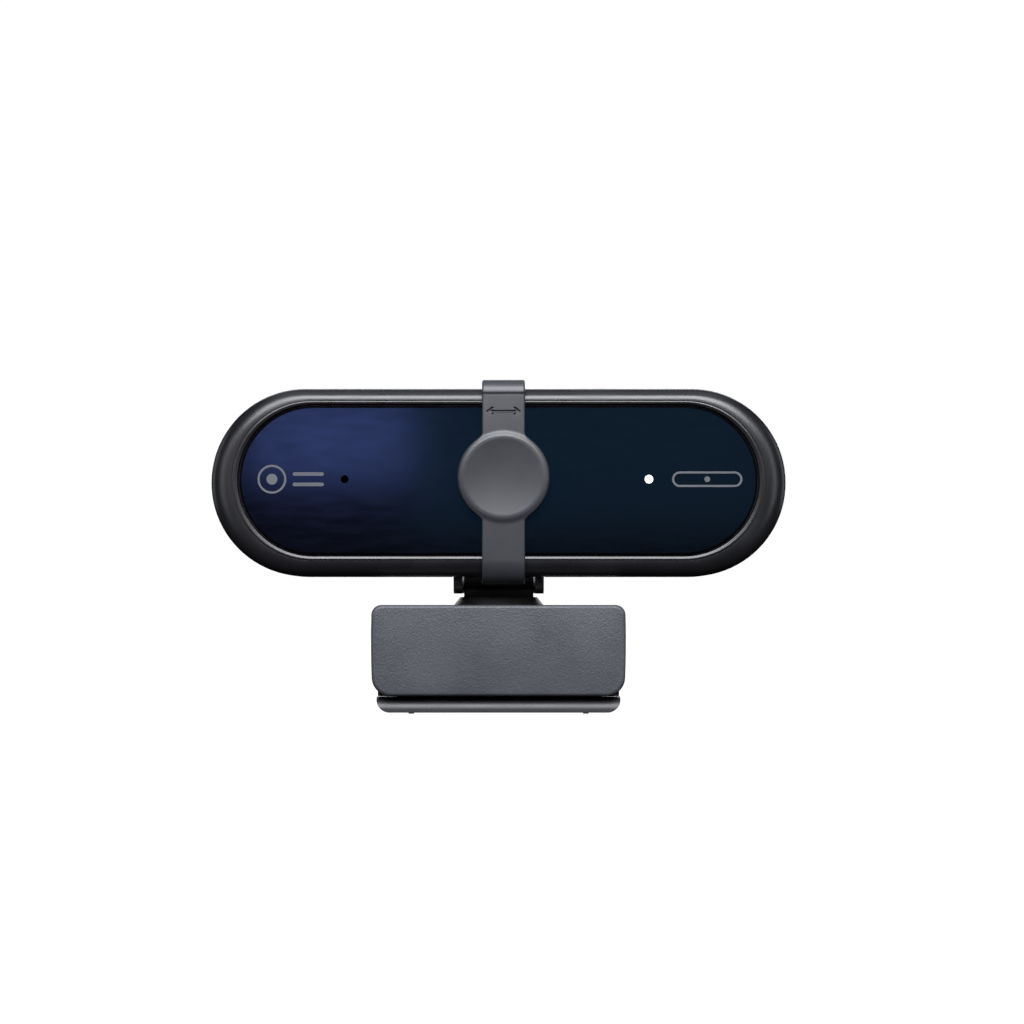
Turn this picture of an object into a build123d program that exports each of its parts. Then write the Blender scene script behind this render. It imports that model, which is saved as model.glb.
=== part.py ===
from build123d import *
import os

# Webcam with a sliding privacy cover on a folding monitor clip.
# Millimetres. +X is to the right seen from the front, the lens looks along -Y, +Z is up.
# The origin is under the middle of the object, on the surface that it stands on.

# ---------------------------------------------------------------- driving dimensions
# head
HEAD_W = 100.0
HEAD_H = 32.7
HEAD_Z = 40.2
WALL = 1.6
BEZEL_FRONT = -12.5
BEZEL_BACK = -7.5
BEZEL_R = 2.4
SHELL_BACK = 13.5
SHELL_R = 10.0
GROOVE_W = 1.1
GROOVE_D = 0.7
# glass
GLASS_W = 89.9
GLASS_H = 25.8
GLASS_Z = 40.5
GLASS_FRONT = -12.2
GLASS_T = 1.4
GLASS_GAP = 0.3
GLASS_CHAMFER = 0.35
GLUE_T = 0.2
GLUE_W = 2.0
PLATE_T = 1.2
# optics and small parts on the circuit board
LENS_Z = 41.0
LENS_HOLE_R = 7.0
MIC_X = -26.7
LED_X = 26.1
PORT_Z = 40.7
MIC_R = 0.7
LED_R = 0.8
PCB_FRONT = 6.2
PCB_T = 1.2
PCB_W = 64.0
PCB_H = 22.0
PCB_CORNER_R = 1.0
# clip
CLIP_FRONT = -15.2
PANEL_W = 44.1
PANEL_BOTTOM = 3.2
PANEL_TOP = 18.9
PANEL_T = 1.8
BRIDGE_W = 43.0
BRIDGE_TOP = 18.7
BRIDGE_T = 4.5
JAW_T = 2.2
JAW_W = 41.7
JAW_BOTTOM = 3.15
PAD_T = 0.8
# leg and its hinge
HINGE_Y = 11.6
HINGE_Z = 14.9
KNUCKLE_R = 3.6
KNUCKLE_HALF = 14.6
OUTER_KNUCKLE_END = 20.9
LEG_W = 42.2
LEG_FRONT = -13.7
LEG_BOTTOM = 0.3
LEG_TOP = 3.0
HEEL_T = 2.8
# neck
TILT_Z = 24.8
BARREL_R = 4.0
BARREL_HALF = 6.1
CHEEK_R = 3.9
CHEEK_FRONT_R = 1.6
CHEEK_SIDE_R = 0.4
CHEEK_IN = 6.4
CHEEK_OUT = 7.95
CONE_TOP_Z = 20.3
CONE_TOP_R = 6.8
CONE_BASE_R = 8.05
SHAFT_R = 3.5
# fits
RUNNING = 0.05
PIN_R = 1.25
# privacy cover
COVER_X = 0.87
COVER_W = 7.46
COVER_T = 1.2
COVER_GAP = 0.25
COVER_FRONT = -14.2
COVER_BACK = -6.2
COVER_TOP_R = 2.5
COVER_BOTTOM_R = 4.5
DISC_R = 8.0
DISC_FRONT = -14.5
DISH_R = 6.8
DISH_D = 0.5

# worked out from the driving dimensions
HEAD_TOP = HEAD_Z + HEAD_H / 2
HEAD_BOTTOM = HEAD_Z - HEAD_H / 2
INNER_W = HEAD_W - 2 * WALL
INNER_H = HEAD_H - 2 * WALL
GLASS_BACK = GLASS_FRONT + GLASS_T
PLATE_FRONT = GLASS_BACK + GLUE_T
PLATE_BACK = PLATE_FRONT + PLATE_T
PCB_BACK = PCB_FRONT + PCB_T
SHELL_INNER_BACK = SHELL_BACK - WALL
GROOVE_BACK = BEZEL_BACK + GROOVE_W
BRIDGE_BOTTOM = BRIDGE_TOP - BRIDGE_T
JAW_FRONT = CLIP_FRONT + PANEL_T
JAW_BACK = JAW_FRONT + JAW_T
HINGE_BACK = HINGE_Y + KNUCKLE_R

os.makedirs("parts", exist_ok=True)


# ---------------------------------------------------------------- helpers
def facing(y):
    """Upright plane at this y. Its sketches are seen from the front and extrude towards the front."""
    return Plane(origin=(0, y, 0), x_dir=(1, 0, 0), z_dir=(0, -1, 0))


def save(builder, name):
    """Label a finished piece and write it as one STEP file."""
    builder.part.label = name
    export_step(builder.part, f"parts/{name}.step")


def disc_along_y(x, z, radius, back, front, mode=Mode.ADD):
    """Round bar along Y between two y values."""
    with BuildSketch(facing(back)) as profile:
        with Locations((x, z)):
            Circle(radius)
    extrude(profile.sketch, amount=back - front, mode=mode)


def block_along_y(x, z, width, height, back, front, mode=Mode.ADD):
    """Rectangular bar along Y between two y values."""
    with BuildSketch(facing(back)) as profile:
        with Locations((x, z)):
            Rectangle(width, height)
    extrude(profile.sketch, amount=back - front, mode=mode)


def pill_along_y(width, height, z, back, front, mode=Mode.ADD):
    """Pill-shaped bar along Y between two y values."""
    with BuildSketch(facing(back)) as profile:
        with Locations((0, z)):
            SlotOverall(width, height)
    extrude(profile.sketch, amount=back - front, mode=mode)


def disc_along_x(y, z, radius, start, end, mode=Mode.ADD):
    """Round bar along X between two x values."""
    with BuildSketch(Plane.YZ.offset(start)) as profile:
        with Locations((y, z)):
            Circle(radius)
    extrude(profile.sketch, amount=end - start, mode=mode)


def disc_along_z(x, y, radius, bottom, top, mode=Mode.ADD):
    """Round bar along Z between two heights."""
    with BuildSketch(Plane.XY.offset(bottom)) as profile:
        with Locations((x, y)):
            Circle(radius)
    extrude(profile.sketch, amount=top - bottom, mode=mode)


def block(x_range, y_range, z_range, mode=Mode.ADD):
    """Block between three pairs of limits."""
    with BuildSketch(Plane.XY.offset(z_range[0])) as profile:
        with Locations(((x_range[0] + x_range[1]) / 2, (y_range[0] + y_range[1]) / 2)):
            Rectangle(x_range[1] - x_range[0], y_range[1] - y_range[0])
    extrude(profile.sketch, amount=z_range[1] - z_range[0], mode=mode)


# ---------------------------------------------------------------- head: casing
SHELL_SCREW_X = 38.0
SHELL_SCREW_Z = 8.0
SHELL_BOSS_R = 2.6
SHELL_PILOT_R = 0.85
SHELL_SCREW_LEN = 7.0
SHELL_HEAD_R = 1.9
SHELL_HEAD_H = 0.8
SHELL_SCREWS = [(sx * SHELL_SCREW_X, HEAD_Z + sz * SHELL_SCREW_Z) for sx in (-1, 1) for sz in (-1, 1)]
MIC_BOOT_R = 2.2
LIGHT_PIPE_R = 1.2
CLEAR = 0.15

with BuildPart() as front_bezel:
    pill_along_y(HEAD_W, HEAD_H, HEAD_Z, BEZEL_BACK, BEZEL_FRONT)
    fillet(front_bezel.faces().sort_by(Axis.Y)[0].edges(), BEZEL_R)
    pill_along_y(INNER_W, INNER_H, HEAD_Z, BEZEL_BACK, PLATE_BACK, Mode.SUBTRACT)
    pill_along_y(
        GLASS_W + 2 * GLASS_GAP, GLASS_H + 2 * GLASS_GAP, GLASS_Z, PLATE_FRONT, BEZEL_FRONT, Mode.SUBTRACT
    )
    disc_along_y(0, LENS_Z, LENS_HOLE_R, PLATE_BACK, PLATE_FRONT, Mode.SUBTRACT)
    disc_along_y(MIC_X, PORT_Z, MIC_BOOT_R + CLEAR, PLATE_BACK, PLATE_FRONT, Mode.SUBTRACT)
    disc_along_y(LED_X, PORT_Z, LIGHT_PIPE_R + CLEAR, PLATE_BACK, PLATE_FRONT, Mode.SUBTRACT)
    for x, z in SHELL_SCREWS:
        disc_along_y(x, z, SHELL_PILOT_R + CLEAR, PLATE_BACK, PLATE_FRONT, Mode.SUBTRACT)
        disc_along_y(x, z, SHELL_HEAD_R + CLEAR, PLATE_FRONT + SHELL_HEAD_H, PLATE_FRONT, Mode.SUBTRACT)
save(front_bezel, "front_bezel")

with BuildPart() as front_glass:
    pill_along_y(GLASS_W, GLASS_H, GLASS_Z, GLASS_BACK, GLASS_FRONT)
    chamfer(front_glass.faces().sort_by(Axis.Y)[0].edges(), GLASS_CHAMFER)
    disc_along_y(MIC_X, PORT_Z, MIC_R, GLASS_BACK, GLASS_FRONT, Mode.SUBTRACT)
save(front_glass, "front_glass")

with BuildPart() as glass_adhesive:
    pill_along_y(GLASS_W, GLASS_H, GLASS_Z, PLATE_FRONT, GLASS_BACK)
    pill_along_y(
        GLASS_W - 2 * GLUE_W, GLASS_H - 2 * GLUE_W, GLASS_Z, PLATE_FRONT, GLASS_BACK, Mode.SUBTRACT
    )
save(glass_adhesive, "glass_adhesive")

# Hollow of the rear shell. Screw bosses and board standoffs are left standing in it.
STANDOFF_X = 26.0
STANDOFF_Z = 8.0
STANDOFF_R = 2.2
PCB_PILOT_R = 0.7
PCB_SCREWS = [(sx * STANDOFF_X, HEAD_Z + sz * STANDOFF_Z) for sx in (-1, 1) for sz in (-1, 1)]
with BuildPart() as shell_hollow:
    pill_along_y(INNER_W, INNER_H, HEAD_Z, SHELL_INNER_BACK, BEZEL_BACK)
    fillet(shell_hollow.faces().sort_by(Axis.Y)[-1].edges(), SHELL_R - WALL)
    for x, z in SHELL_SCREWS:
        disc_along_y(x, z, SHELL_BOSS_R, SHELL_INNER_BACK, BEZEL_BACK, Mode.SUBTRACT)
    for x, z in PCB_SCREWS:
        disc_along_y(x, z, STANDOFF_R, SHELL_INNER_BACK, PCB_BACK, Mode.SUBTRACT)

OPENING_HALF_X = 8.15
OPENING_HALF_Y = 5.75
YOKE_SCREW_R = 0.7
YOKE_SCREW_TIP = HEAD_BOTTOM + 0.25
YOKE_SCREWS = [(sx * 10.6, sy * 2.0) for sx in (-1, 1) for sy in (-1, 1)]
GROMMET_Z = 38.2
GROMMET_NECK_R = 2.9
GROMMET_BACK = 15.1
with BuildPart() as rear_shell:
    pill_along_y(HEAD_W, HEAD_H, HEAD_Z, SHELL_BACK, GROOVE_BACK)
    fillet(rear_shell.faces().sort_by(Axis.Y)[-1].edges(), SHELL_R)
    pill_along_y(HEAD_W - 2 * GROOVE_D, HEAD_H - 2 * GROOVE_D, HEAD_Z, GROOVE_BACK, BEZEL_BACK)
    add(shell_hollow.part, mode=Mode.SUBTRACT)
    for x, z in SHELL_SCREWS:
        disc_along_y(x, z, SHELL_BOSS_R, BEZEL_BACK, PLATE_BACK)
    for x, z in SHELL_SCREWS:
        disc_along_y(x, z, SHELL_PILOT_R, PLATE_BACK + SHELL_SCREW_LEN, PLATE_BACK, Mode.SUBTRACT)
    for x, z in PCB_SCREWS:
        disc_along_y(x, z, PCB_PILOT_R, SHELL_INNER_BACK, PCB_BACK, Mode.SUBTRACT)
    # opening in the underside for the tilt bracket
    block(
        (-OPENING_HALF_X, OPENING_HALF_X),
        (-OPENING_HALF_Y, OPENING_HALF_Y),
        (HEAD_BOTTOM - WALL, HEAD_BOTTOM + 2 * WALL),
        Mode.SUBTRACT,
    )
    for x, y in YOKE_SCREWS:
        disc_along_z(x, y, YOKE_SCREW_R, YOKE_SCREW_TIP, HEAD_BOTTOM + WALL, Mode.SUBTRACT)
    disc_along_y(0, GROMMET_Z, GROMMET_NECK_R, SHELL_BACK, SHELL_INNER_BACK, Mode.SUBTRACT)
save(rear_shell, "rear_shell")

# Threaded screws that hold the bezel to the rear shell, under the glass.
with BuildPart() as shell_screws:
    for x, z in SHELL_SCREWS:
        disc_along_y(x, z, SHELL_PILOT_R, PLATE_BACK + SHELL_SCREW_LEN, PLATE_FRONT + SHELL_HEAD_H)
        disc_along_y(x, z, SHELL_HEAD_R, PLATE_FRONT + SHELL_HEAD_H, PLATE_FRONT)
save(shell_screws, "shell_screws")

# Rubber bush where the lead would enter the rear shell.
CABLE_R = 1.9
GROMMET_FLANGE_R = 4.2
GROMMET_TIP_R = 3.2
GROMMET_LOCK_R = 3.8
GROMMET_LOCK_T = 0.8
with BuildPart() as cable_grommet:
    with BuildSketch(Plane.YZ):
        with BuildLine():
            Polyline(
                (GROMMET_BACK, GROMMET_Z + CABLE_R),
                (GROMMET_BACK, GROMMET_Z + GROMMET_TIP_R),
                (SHELL_BACK, GROMMET_Z + GROMMET_FLANGE_R),
                (SHELL_BACK, GROMMET_Z + GROMMET_NECK_R),
                (SHELL_INNER_BACK, GROMMET_Z + GROMMET_NECK_R),
                (SHELL_INNER_BACK, GROMMET_Z + GROMMET_LOCK_R),
                (SHELL_INNER_BACK - GROMMET_LOCK_T, GROMMET_Z + GROMMET_LOCK_R),
                (SHELL_INNER_BACK - GROMMET_LOCK_T, GROMMET_Z + CABLE_R),
                close=True,
            )
        make_face()
    revolve(axis=Axis((0, 0, GROMMET_Z), (0, 1, 0)))
save(cable_grommet, "cable_grommet")

# ---------------------------------------------------------------- head: electronics
with BuildPart() as main_pcb:
    block_along_y(0, HEAD_Z, PCB_W, PCB_H, PCB_BACK, PCB_FRONT)
    fillet(main_pcb.edges().filter_by(Axis.Y), PCB_CORNER_R)
    for x, z in PCB_SCREWS:
        disc_along_y(x, z, PCB_PILOT_R + CLEAR, PCB_BACK, PCB_FRONT, Mode.SUBTRACT)
save(main_pcb, "main_pcb")

PCB_SCREW_LEN = 4.6
PCB_HEAD_R = 1.5
PCB_HEAD_H = 0.9
with BuildPart() as pcb_screws:
    for x, z in PCB_SCREWS:
        disc_along_y(x, z, PCB_PILOT_R, PCB_FRONT + PCB_SCREW_LEN, PCB_FRONT)
        disc_along_y(x, z, PCB_HEAD_R, PCB_FRONT, PCB_FRONT - PCB_HEAD_H)
save(pcb_screws, "pcb_screws")

SENSOR_W = 7.0
SENSOR_H = 6.0
SENSOR_T = 1.0
with BuildPart() as image_sensor:
    block_along_y(0, LENS_Z, SENSOR_W, SENSOR_H, PCB_FRONT, PCB_FRONT - SENSOR_T)
save(image_sensor, "image_sensor")

HOLDER_BASE = 16.0
HOLDER_BASE_T = 3.2
HOLDER_R = 7.2
HOLDER_FRONT = -4.0
LENS_R = 6.0
LENS_BACK = 1.9
SHELF_BACK = 2.7
WINDOW_R = 3.0
SENSOR_ROOM = 10.0
HOLDER_CORNER_R = 1.5
with BuildPart() as lens_holder:
    block_along_y(0, LENS_Z, HOLDER_BASE, HOLDER_BASE, PCB_FRONT, PCB_FRONT - HOLDER_BASE_T)
    fillet(lens_holder.edges().filter_by(Axis.Y), HOLDER_CORNER_R)
    disc_along_y(0, LENS_Z, HOLDER_R, PCB_FRONT - HOLDER_BASE_T, HOLDER_FRONT)
    block_along_y(0, LENS_Z, SENSOR_ROOM, SENSOR_ROOM, PCB_FRONT, SHELF_BACK, Mode.SUBTRACT)
    disc_along_y(0, LENS_Z, WINDOW_R, SHELF_BACK, LENS_BACK, Mode.SUBTRACT)
    disc_along_y(0, LENS_Z, LENS_R + RUNNING, LENS_BACK, HOLDER_FRONT, Mode.SUBTRACT)
save(lens_holder, "lens_holder")

FILTER_W = 8.0
FILTER_T = 0.3
with BuildPart() as ir_filter:
    block_along_y(0, LENS_Z, FILTER_W, FILTER_W, SHELF_BACK + FILTER_T, SHELF_BACK)
save(ir_filter, "ir_filter")

LENS_HEAD_R = 6.6
LENS_FRONT = -10.2
LENS_HEAD_BACK = -6.6
ELEMENT_R = 4.4
REAR_ELEMENT_R = 3.4
STEP_Y = -3.4
with BuildPart() as lens_barrel:
    disc_along_y(0, LENS_Z, LENS_R, LENS_BACK, LENS_HEAD_BACK)
    disc_along_y(0, LENS_Z, LENS_HEAD_R, LENS_HEAD_BACK, LENS_FRONT)
    disc_along_y(0, LENS_Z, REAR_ELEMENT_R, LENS_BACK, STEP_Y, Mode.SUBTRACT)
    disc_along_y(0, LENS_Z, ELEMENT_R, STEP_Y, LENS_FRONT, Mode.SUBTRACT)
save(lens_barrel, "lens_barrel")


def lens_element(radius, back, front, bulge):
    """Glass lens along Y: flat back face, flat rim and a domed front that rises by bulge."""
    ball_r = (radius**2 + bulge**2) / (2 * bulge)
    mid_sag = ball_r - (ball_r**2 - radius**2 / 4) ** 0.5
    with BuildSketch(Plane.YZ) as profile:
        with BuildLine():
            Line((back, LENS_Z), (back, LENS_Z + radius))
            Line((back, LENS_Z + radius), (front + bulge, LENS_Z + radius))
            ThreePointArc(
                (front + bulge, LENS_Z + radius),
                (front + mid_sag, LENS_Z + radius / 2),
                (front, LENS_Z),
            )
            Line((front, LENS_Z), (back, LENS_Z))
        make_face()
    revolve(profile.sketch, axis=Axis((0, 0, LENS_Z), (0, 1, 0)))


# back and front of each element
FRONT_ELEMENT = (-7.6, -9.9)
MIDDLE_ELEMENT = (STEP_Y, -5.0)
REAR_ELEMENT = (1.5, -0.6)
FRONT_BULGE = 1.5
MIDDLE_BULGE = 0.8
REAR_BULGE = 0.9
with BuildPart() as lens_front_element:
    lens_element(ELEMENT_R, FRONT_ELEMENT[0], FRONT_ELEMENT[1], FRONT_BULGE)
save(lens_front_element, "lens_front_element")

with BuildPart() as lens_middle_element:
    lens_element(ELEMENT_R, MIDDLE_ELEMENT[0], MIDDLE_ELEMENT[1], MIDDLE_BULGE)
save(lens_middle_element, "lens_middle_element")

with BuildPart() as lens_rear_element:
    lens_element(REAR_ELEMENT_R, REAR_ELEMENT[0], REAR_ELEMENT[1], REAR_BULGE)
save(lens_rear_element, "lens_rear_element")

SPACER_BORE_R = 3.6
SPACER_BACK = MIDDLE_ELEMENT[1] + 0.5
with BuildPart() as lens_spacer:
    disc_along_y(0, LENS_Z, ELEMENT_R, SPACER_BACK, FRONT_ELEMENT[0])
    disc_along_y(0, LENS_Z, SPACER_BORE_R, SPACER_BACK, FRONT_ELEMENT[0], Mode.SUBTRACT)
save(lens_spacer, "lens_spacer")

RING_BORE_R = 3.75
RING_BACK = -8.9
with BuildPart() as lens_retaining_ring:
    disc_along_y(0, LENS_Z, ELEMENT_R, RING_BACK, LENS_FRONT)
    disc_along_y(0, LENS_Z, RING_BORE_R, RING_BACK, LENS_FRONT, Mode.SUBTRACT)
save(lens_retaining_ring, "lens_retaining_ring")

ISP_X = -13.0
ISP_SIZE = 9.0
ISP_T = 1.0
with BuildPart() as isp_chip:
    block_along_y(ISP_X, HEAD_Z, ISP_SIZE, ISP_SIZE, PCB_BACK + ISP_T, PCB_BACK)
save(isp_chip, "isp_chip")

FLASH_PLACE = (3.0, HEAD_Z + 5.5)
FLASH_SIZE = (5.0, 4.0)
FLASH_T = 0.9
with BuildPart() as flash_chip:
    block_along_y(*FLASH_PLACE, *FLASH_SIZE, PCB_BACK + FLASH_T, PCB_BACK)
save(flash_chip, "flash_chip")

CRYSTAL_PLACE = (-3.0, HEAD_Z - 7.0)
CRYSTAL_SIZE = (3.2, 2.5)
CRYSTAL_T = 0.8
with BuildPart() as crystal:
    block_along_y(*CRYSTAL_PLACE, *CRYSTAL_SIZE, PCB_BACK + CRYSTAL_T, PCB_BACK)
save(crystal, "crystal")

HEADER_X = 14.0
HEADER_Z = 36.0
HEADER_SIZE = (9.0, 5.0)
HEADER_ROOM = (7.6, 3.4)
HEADER_BACK = PCB_BACK + 2.8
HEADER_FLOOR = PCB_BACK + 0.8
with BuildPart() as usb_header:
    block_along_y(HEADER_X, HEADER_Z, *HEADER_SIZE, HEADER_BACK, PCB_BACK)
    block_along_y(HEADER_X, HEADER_Z, *HEADER_ROOM, HEADER_BACK, HEADER_FLOOR, Mode.SUBTRACT)
save(usb_header, "usb_header")

# Contacts of the header: five pins that stand in the plug's room.
HEADER_PITCH = 1.5
CONTACT_W = 0.5
CONTACT_BACK = HEADER_BACK - 0.4
with BuildPart() as usb_header_pins:
    for i in range(-2, 3):
        block_along_y(
            HEADER_X + i * HEADER_PITCH, HEADER_Z, CONTACT_W, CONTACT_W, CONTACT_BACK, HEADER_FLOOR
        )
save(usb_header_pins, "usb_header_pins")

# Surface-mount capacitors in two rows beside the processor, and two larger ones.
CAP_SIZE = (1.0, 0.6)
CAP_T = 0.6
CAP_PITCH = 2.0
CAP_ROW_Z = 6.4
LARGE_CAP_SIZE = (3.2, 2.0)
LARGE_CAP_X = 12.0
LARGE_CAP_Z = (HEAD_Z + 1.0, HEAD_Z + 4.5)
with BuildPart() as pcb_capacitors:
    for row in (-1, 1):
        for i in range(-2, 3):
            place = (ISP_X + i * CAP_PITCH, HEAD_Z + row * CAP_ROW_Z)
            block_along_y(*place, *CAP_SIZE, PCB_BACK + CAP_T, PCB_BACK)
    for z in LARGE_CAP_Z:
        block_along_y(LARGE_CAP_X, z, *LARGE_CAP_SIZE, PCB_BACK + 2 * CAP_T, PCB_BACK)
save(pcb_capacitors, "pcb_capacitors")

MIC_T = 1.0
MIC_SIZE = (3.8, 3.0)
with BuildPart() as microphone:
    block_along_y(MIC_X, PORT_Z, *MIC_SIZE, PCB_FRONT, PCB_FRONT - MIC_T)
save(microphone, "microphone")

# Rubber tube that leads sound from the hole in the glass to the microphone.
with BuildPart() as mic_boot:
    disc_along_y(MIC_X, PORT_Z, MIC_BOOT_R, PCB_FRONT - MIC_T, GLASS_BACK)
    disc_along_y(MIC_X, PORT_Z, MIC_R, PCB_FRONT - MIC_T, GLASS_BACK, Mode.SUBTRACT)
save(mic_boot, "mic_boot")

LED_T = 0.6
LED_SIZE = (1.6, 0.8)
with BuildPart() as status_led:
    block_along_y(LED_X, PORT_Z, *LED_SIZE, PCB_FRONT, PCB_FRONT - LED_T)
save(status_led, "status_led")

# Clear rod that carries the light of the lamp to the back of the glass.
with BuildPart() as led_light_pipe:
    disc_along_y(LED_X, PORT_Z, LIGHT_PIPE_R, PCB_FRONT - LED_T, GLASS_BACK)
save(led_light_pipe, "led_light_pipe")

# ---------------------------------------------------------------- neck: tilt and swivel
YOKE_BORE_R = 4.35
SADDLE_R = 5.55
SADDLE_BOTTOM = HEAD_BOTTOM + 0.15
FLANGE_HALF_X = 13.0
FLANGE_HALF_Y = 3.4
FLANGE_T = 1.5
FLANGE_BOTTOM = HEAD_BOTTOM + WALL
FLANGE_TOP = FLANGE_BOTTOM + FLANGE_T

# Flat front half of one cheek, rounded at its lower front and outer edges.
with BuildPart() as cheek_front:
    block((CHEEK_IN, CHEEK_OUT), (-CHEEK_R, 0), (TILT_Z - CHEEK_R, TILT_Z))
    fillet(cheek_front.edges().filter_by(Axis.X).group_by(Axis.Y)[0].sort_by(Axis.Z)[0], CHEEK_FRONT_R)
    fillet(cheek_front.edges().filter_by(Axis.Z).group_by(Axis.Y)[0].sort_by(Axis.X)[-1], CHEEK_SIDE_R)

# Bracket in the head's underside: a saddle over the barrel, two cheeks and two flanges.
with BuildPart() as tilt_yoke:
    disc_along_x(0, TILT_Z, SADDLE_R, -CHEEK_OUT, CHEEK_OUT)
    block((-FLANGE_HALF_X, FLANGE_HALF_X), (-FLANGE_HALF_Y, FLANGE_HALF_Y), (FLANGE_BOTTOM, FLANGE_TOP))
    block(
        (-CHEEK_OUT, CHEEK_OUT),
        (-SADDLE_R, SADDLE_R),
        (TILT_Z - SADDLE_R, SADDLE_BOTTOM),
        Mode.SUBTRACT,
    )
    disc_along_x(0, TILT_Z, YOKE_BORE_R, -CHEEK_IN, CHEEK_IN, Mode.SUBTRACT)
    disc_along_x(0, TILT_Z, CHEEK_R, CHEEK_IN, CHEEK_OUT)
    disc_along_x(0, TILT_Z, CHEEK_R, -CHEEK_OUT, -CHEEK_IN)
    add(cheek_front.part)
    add(cheek_front.part.mirror(Plane.YZ))
    disc_along_x(0, TILT_Z, PIN_R, -CHEEK_OUT, CHEEK_OUT, Mode.SUBTRACT)
    for x, y in YOKE_SCREWS:
        disc_along_z(x, y, YOKE_SCREW_R, FLANGE_BOTTOM, FLANGE_TOP, Mode.SUBTRACT)
save(tilt_yoke, "tilt_yoke")

YOKE_HEAD_R = 1.3
YOKE_HEAD_H = 0.8
with BuildPart() as yoke_screws:
    for x, y in YOKE_SCREWS:
        disc_along_z(x, y, YOKE_SCREW_R, YOKE_SCREW_TIP, FLANGE_TOP)
        disc_along_z(x, y, YOKE_HEAD_R, FLANGE_TOP, FLANGE_TOP + YOKE_HEAD_H)
save(yoke_screws, "yoke_screws")

PIN_INSET = 0.1
with BuildPart() as tilt_pin:
    disc_along_x(0, TILT_Z, PIN_R, PIN_INSET - CHEEK_OUT, CHEEK_OUT - PIN_INSET)
save(tilt_pin, "tilt_pin")

TILT_WASHER_R = 3.85
WASHER_BORE_R = PIN_R + 0.1
with BuildPart() as tilt_washers:
    for start in (BARREL_HALF, -CHEEK_IN):
        disc_along_x(0, TILT_Z, TILT_WASHER_R, start, start + CHEEK_IN - BARREL_HALF)
        disc_along_x(0, TILT_Z, WASHER_BORE_R, start, start + CHEEK_IN - BARREL_HALF, Mode.SUBTRACT)
save(tilt_washers, "tilt_washers")

NECK_HALF_Y = 2.4
CONE_BASE_Z = BRIDGE_TOP + RUNNING
WEB_BOTTOM = 16.4
SWIVEL_SHIM_T = 0.3
SWIVEL_WASHER_T = 0.6
SWIVEL_SCREW_R = 1.0
SWIVEL_SCREW_TIP = 22.0
SHAFT_END = WEB_BOTTOM - SWIVEL_SHIM_T
with BuildPart() as swivel_turret:
    with BuildSketch(Plane.XZ):
        with BuildLine():
            Polyline(
                (0, CONE_TOP_Z),
                (CONE_TOP_R, CONE_TOP_Z),
                (CONE_BASE_R, CONE_BASE_Z),
                (SHAFT_R, CONE_BASE_Z),
                (SHAFT_R, SHAFT_END),
                (0, SHAFT_END),
                close=True,
            )
        make_face()
    revolve(axis=Axis.Z)
    block((-BARREL_HALF, BARREL_HALF), (-NECK_HALF_Y, NECK_HALF_Y), (CONE_TOP_Z, TILT_Z))
    disc_along_x(0, TILT_Z, BARREL_R, -BARREL_HALF, BARREL_HALF)
    disc_along_x(0, TILT_Z, PIN_R + RUNNING, -BARREL_HALF, BARREL_HALF, Mode.SUBTRACT)
    disc_along_z(0, 0, SWIVEL_SCREW_R, SHAFT_END, SWIVEL_SCREW_TIP, Mode.SUBTRACT)
save(swivel_turret, "swivel_turret")

SWIVEL_WASHER_R = 5.2
SHIM_BORE_R = SHAFT_R + 0.15
with BuildPart() as swivel_friction_washer:
    disc_along_z(0, 0, SWIVEL_WASHER_R, SHAFT_END, WEB_BOTTOM)
    disc_along_z(0, 0, SHIM_BORE_R, SHAFT_END, WEB_BOTTOM, Mode.SUBTRACT)
save(swivel_friction_washer, "swivel_friction_washer")

SWIVEL_HEAD_TOP = SHAFT_END - SWIVEL_WASHER_T
SWIVEL_HEAD_R = 2.0
SWIVEL_HEAD_H = 1.2
with BuildPart() as swivel_washer:
    disc_along_z(0, 0, SWIVEL_WASHER_R, SWIVEL_HEAD_TOP, SHAFT_END)
    disc_along_z(0, 0, SWIVEL_SCREW_R, SWIVEL_HEAD_TOP, SHAFT_END, Mode.SUBTRACT)
save(swivel_washer, "swivel_washer")

with BuildPart() as swivel_screw:
    disc_along_z(0, 0, SWIVEL_SCREW_R, SWIVEL_HEAD_TOP, SWIVEL_SCREW_TIP)
    disc_along_z(0, 0, SWIVEL_HEAD_R, SWIVEL_HEAD_TOP - SWIVEL_HEAD_H, SWIVEL_HEAD_TOP)
save(swivel_screw, "swivel_screw")

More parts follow.
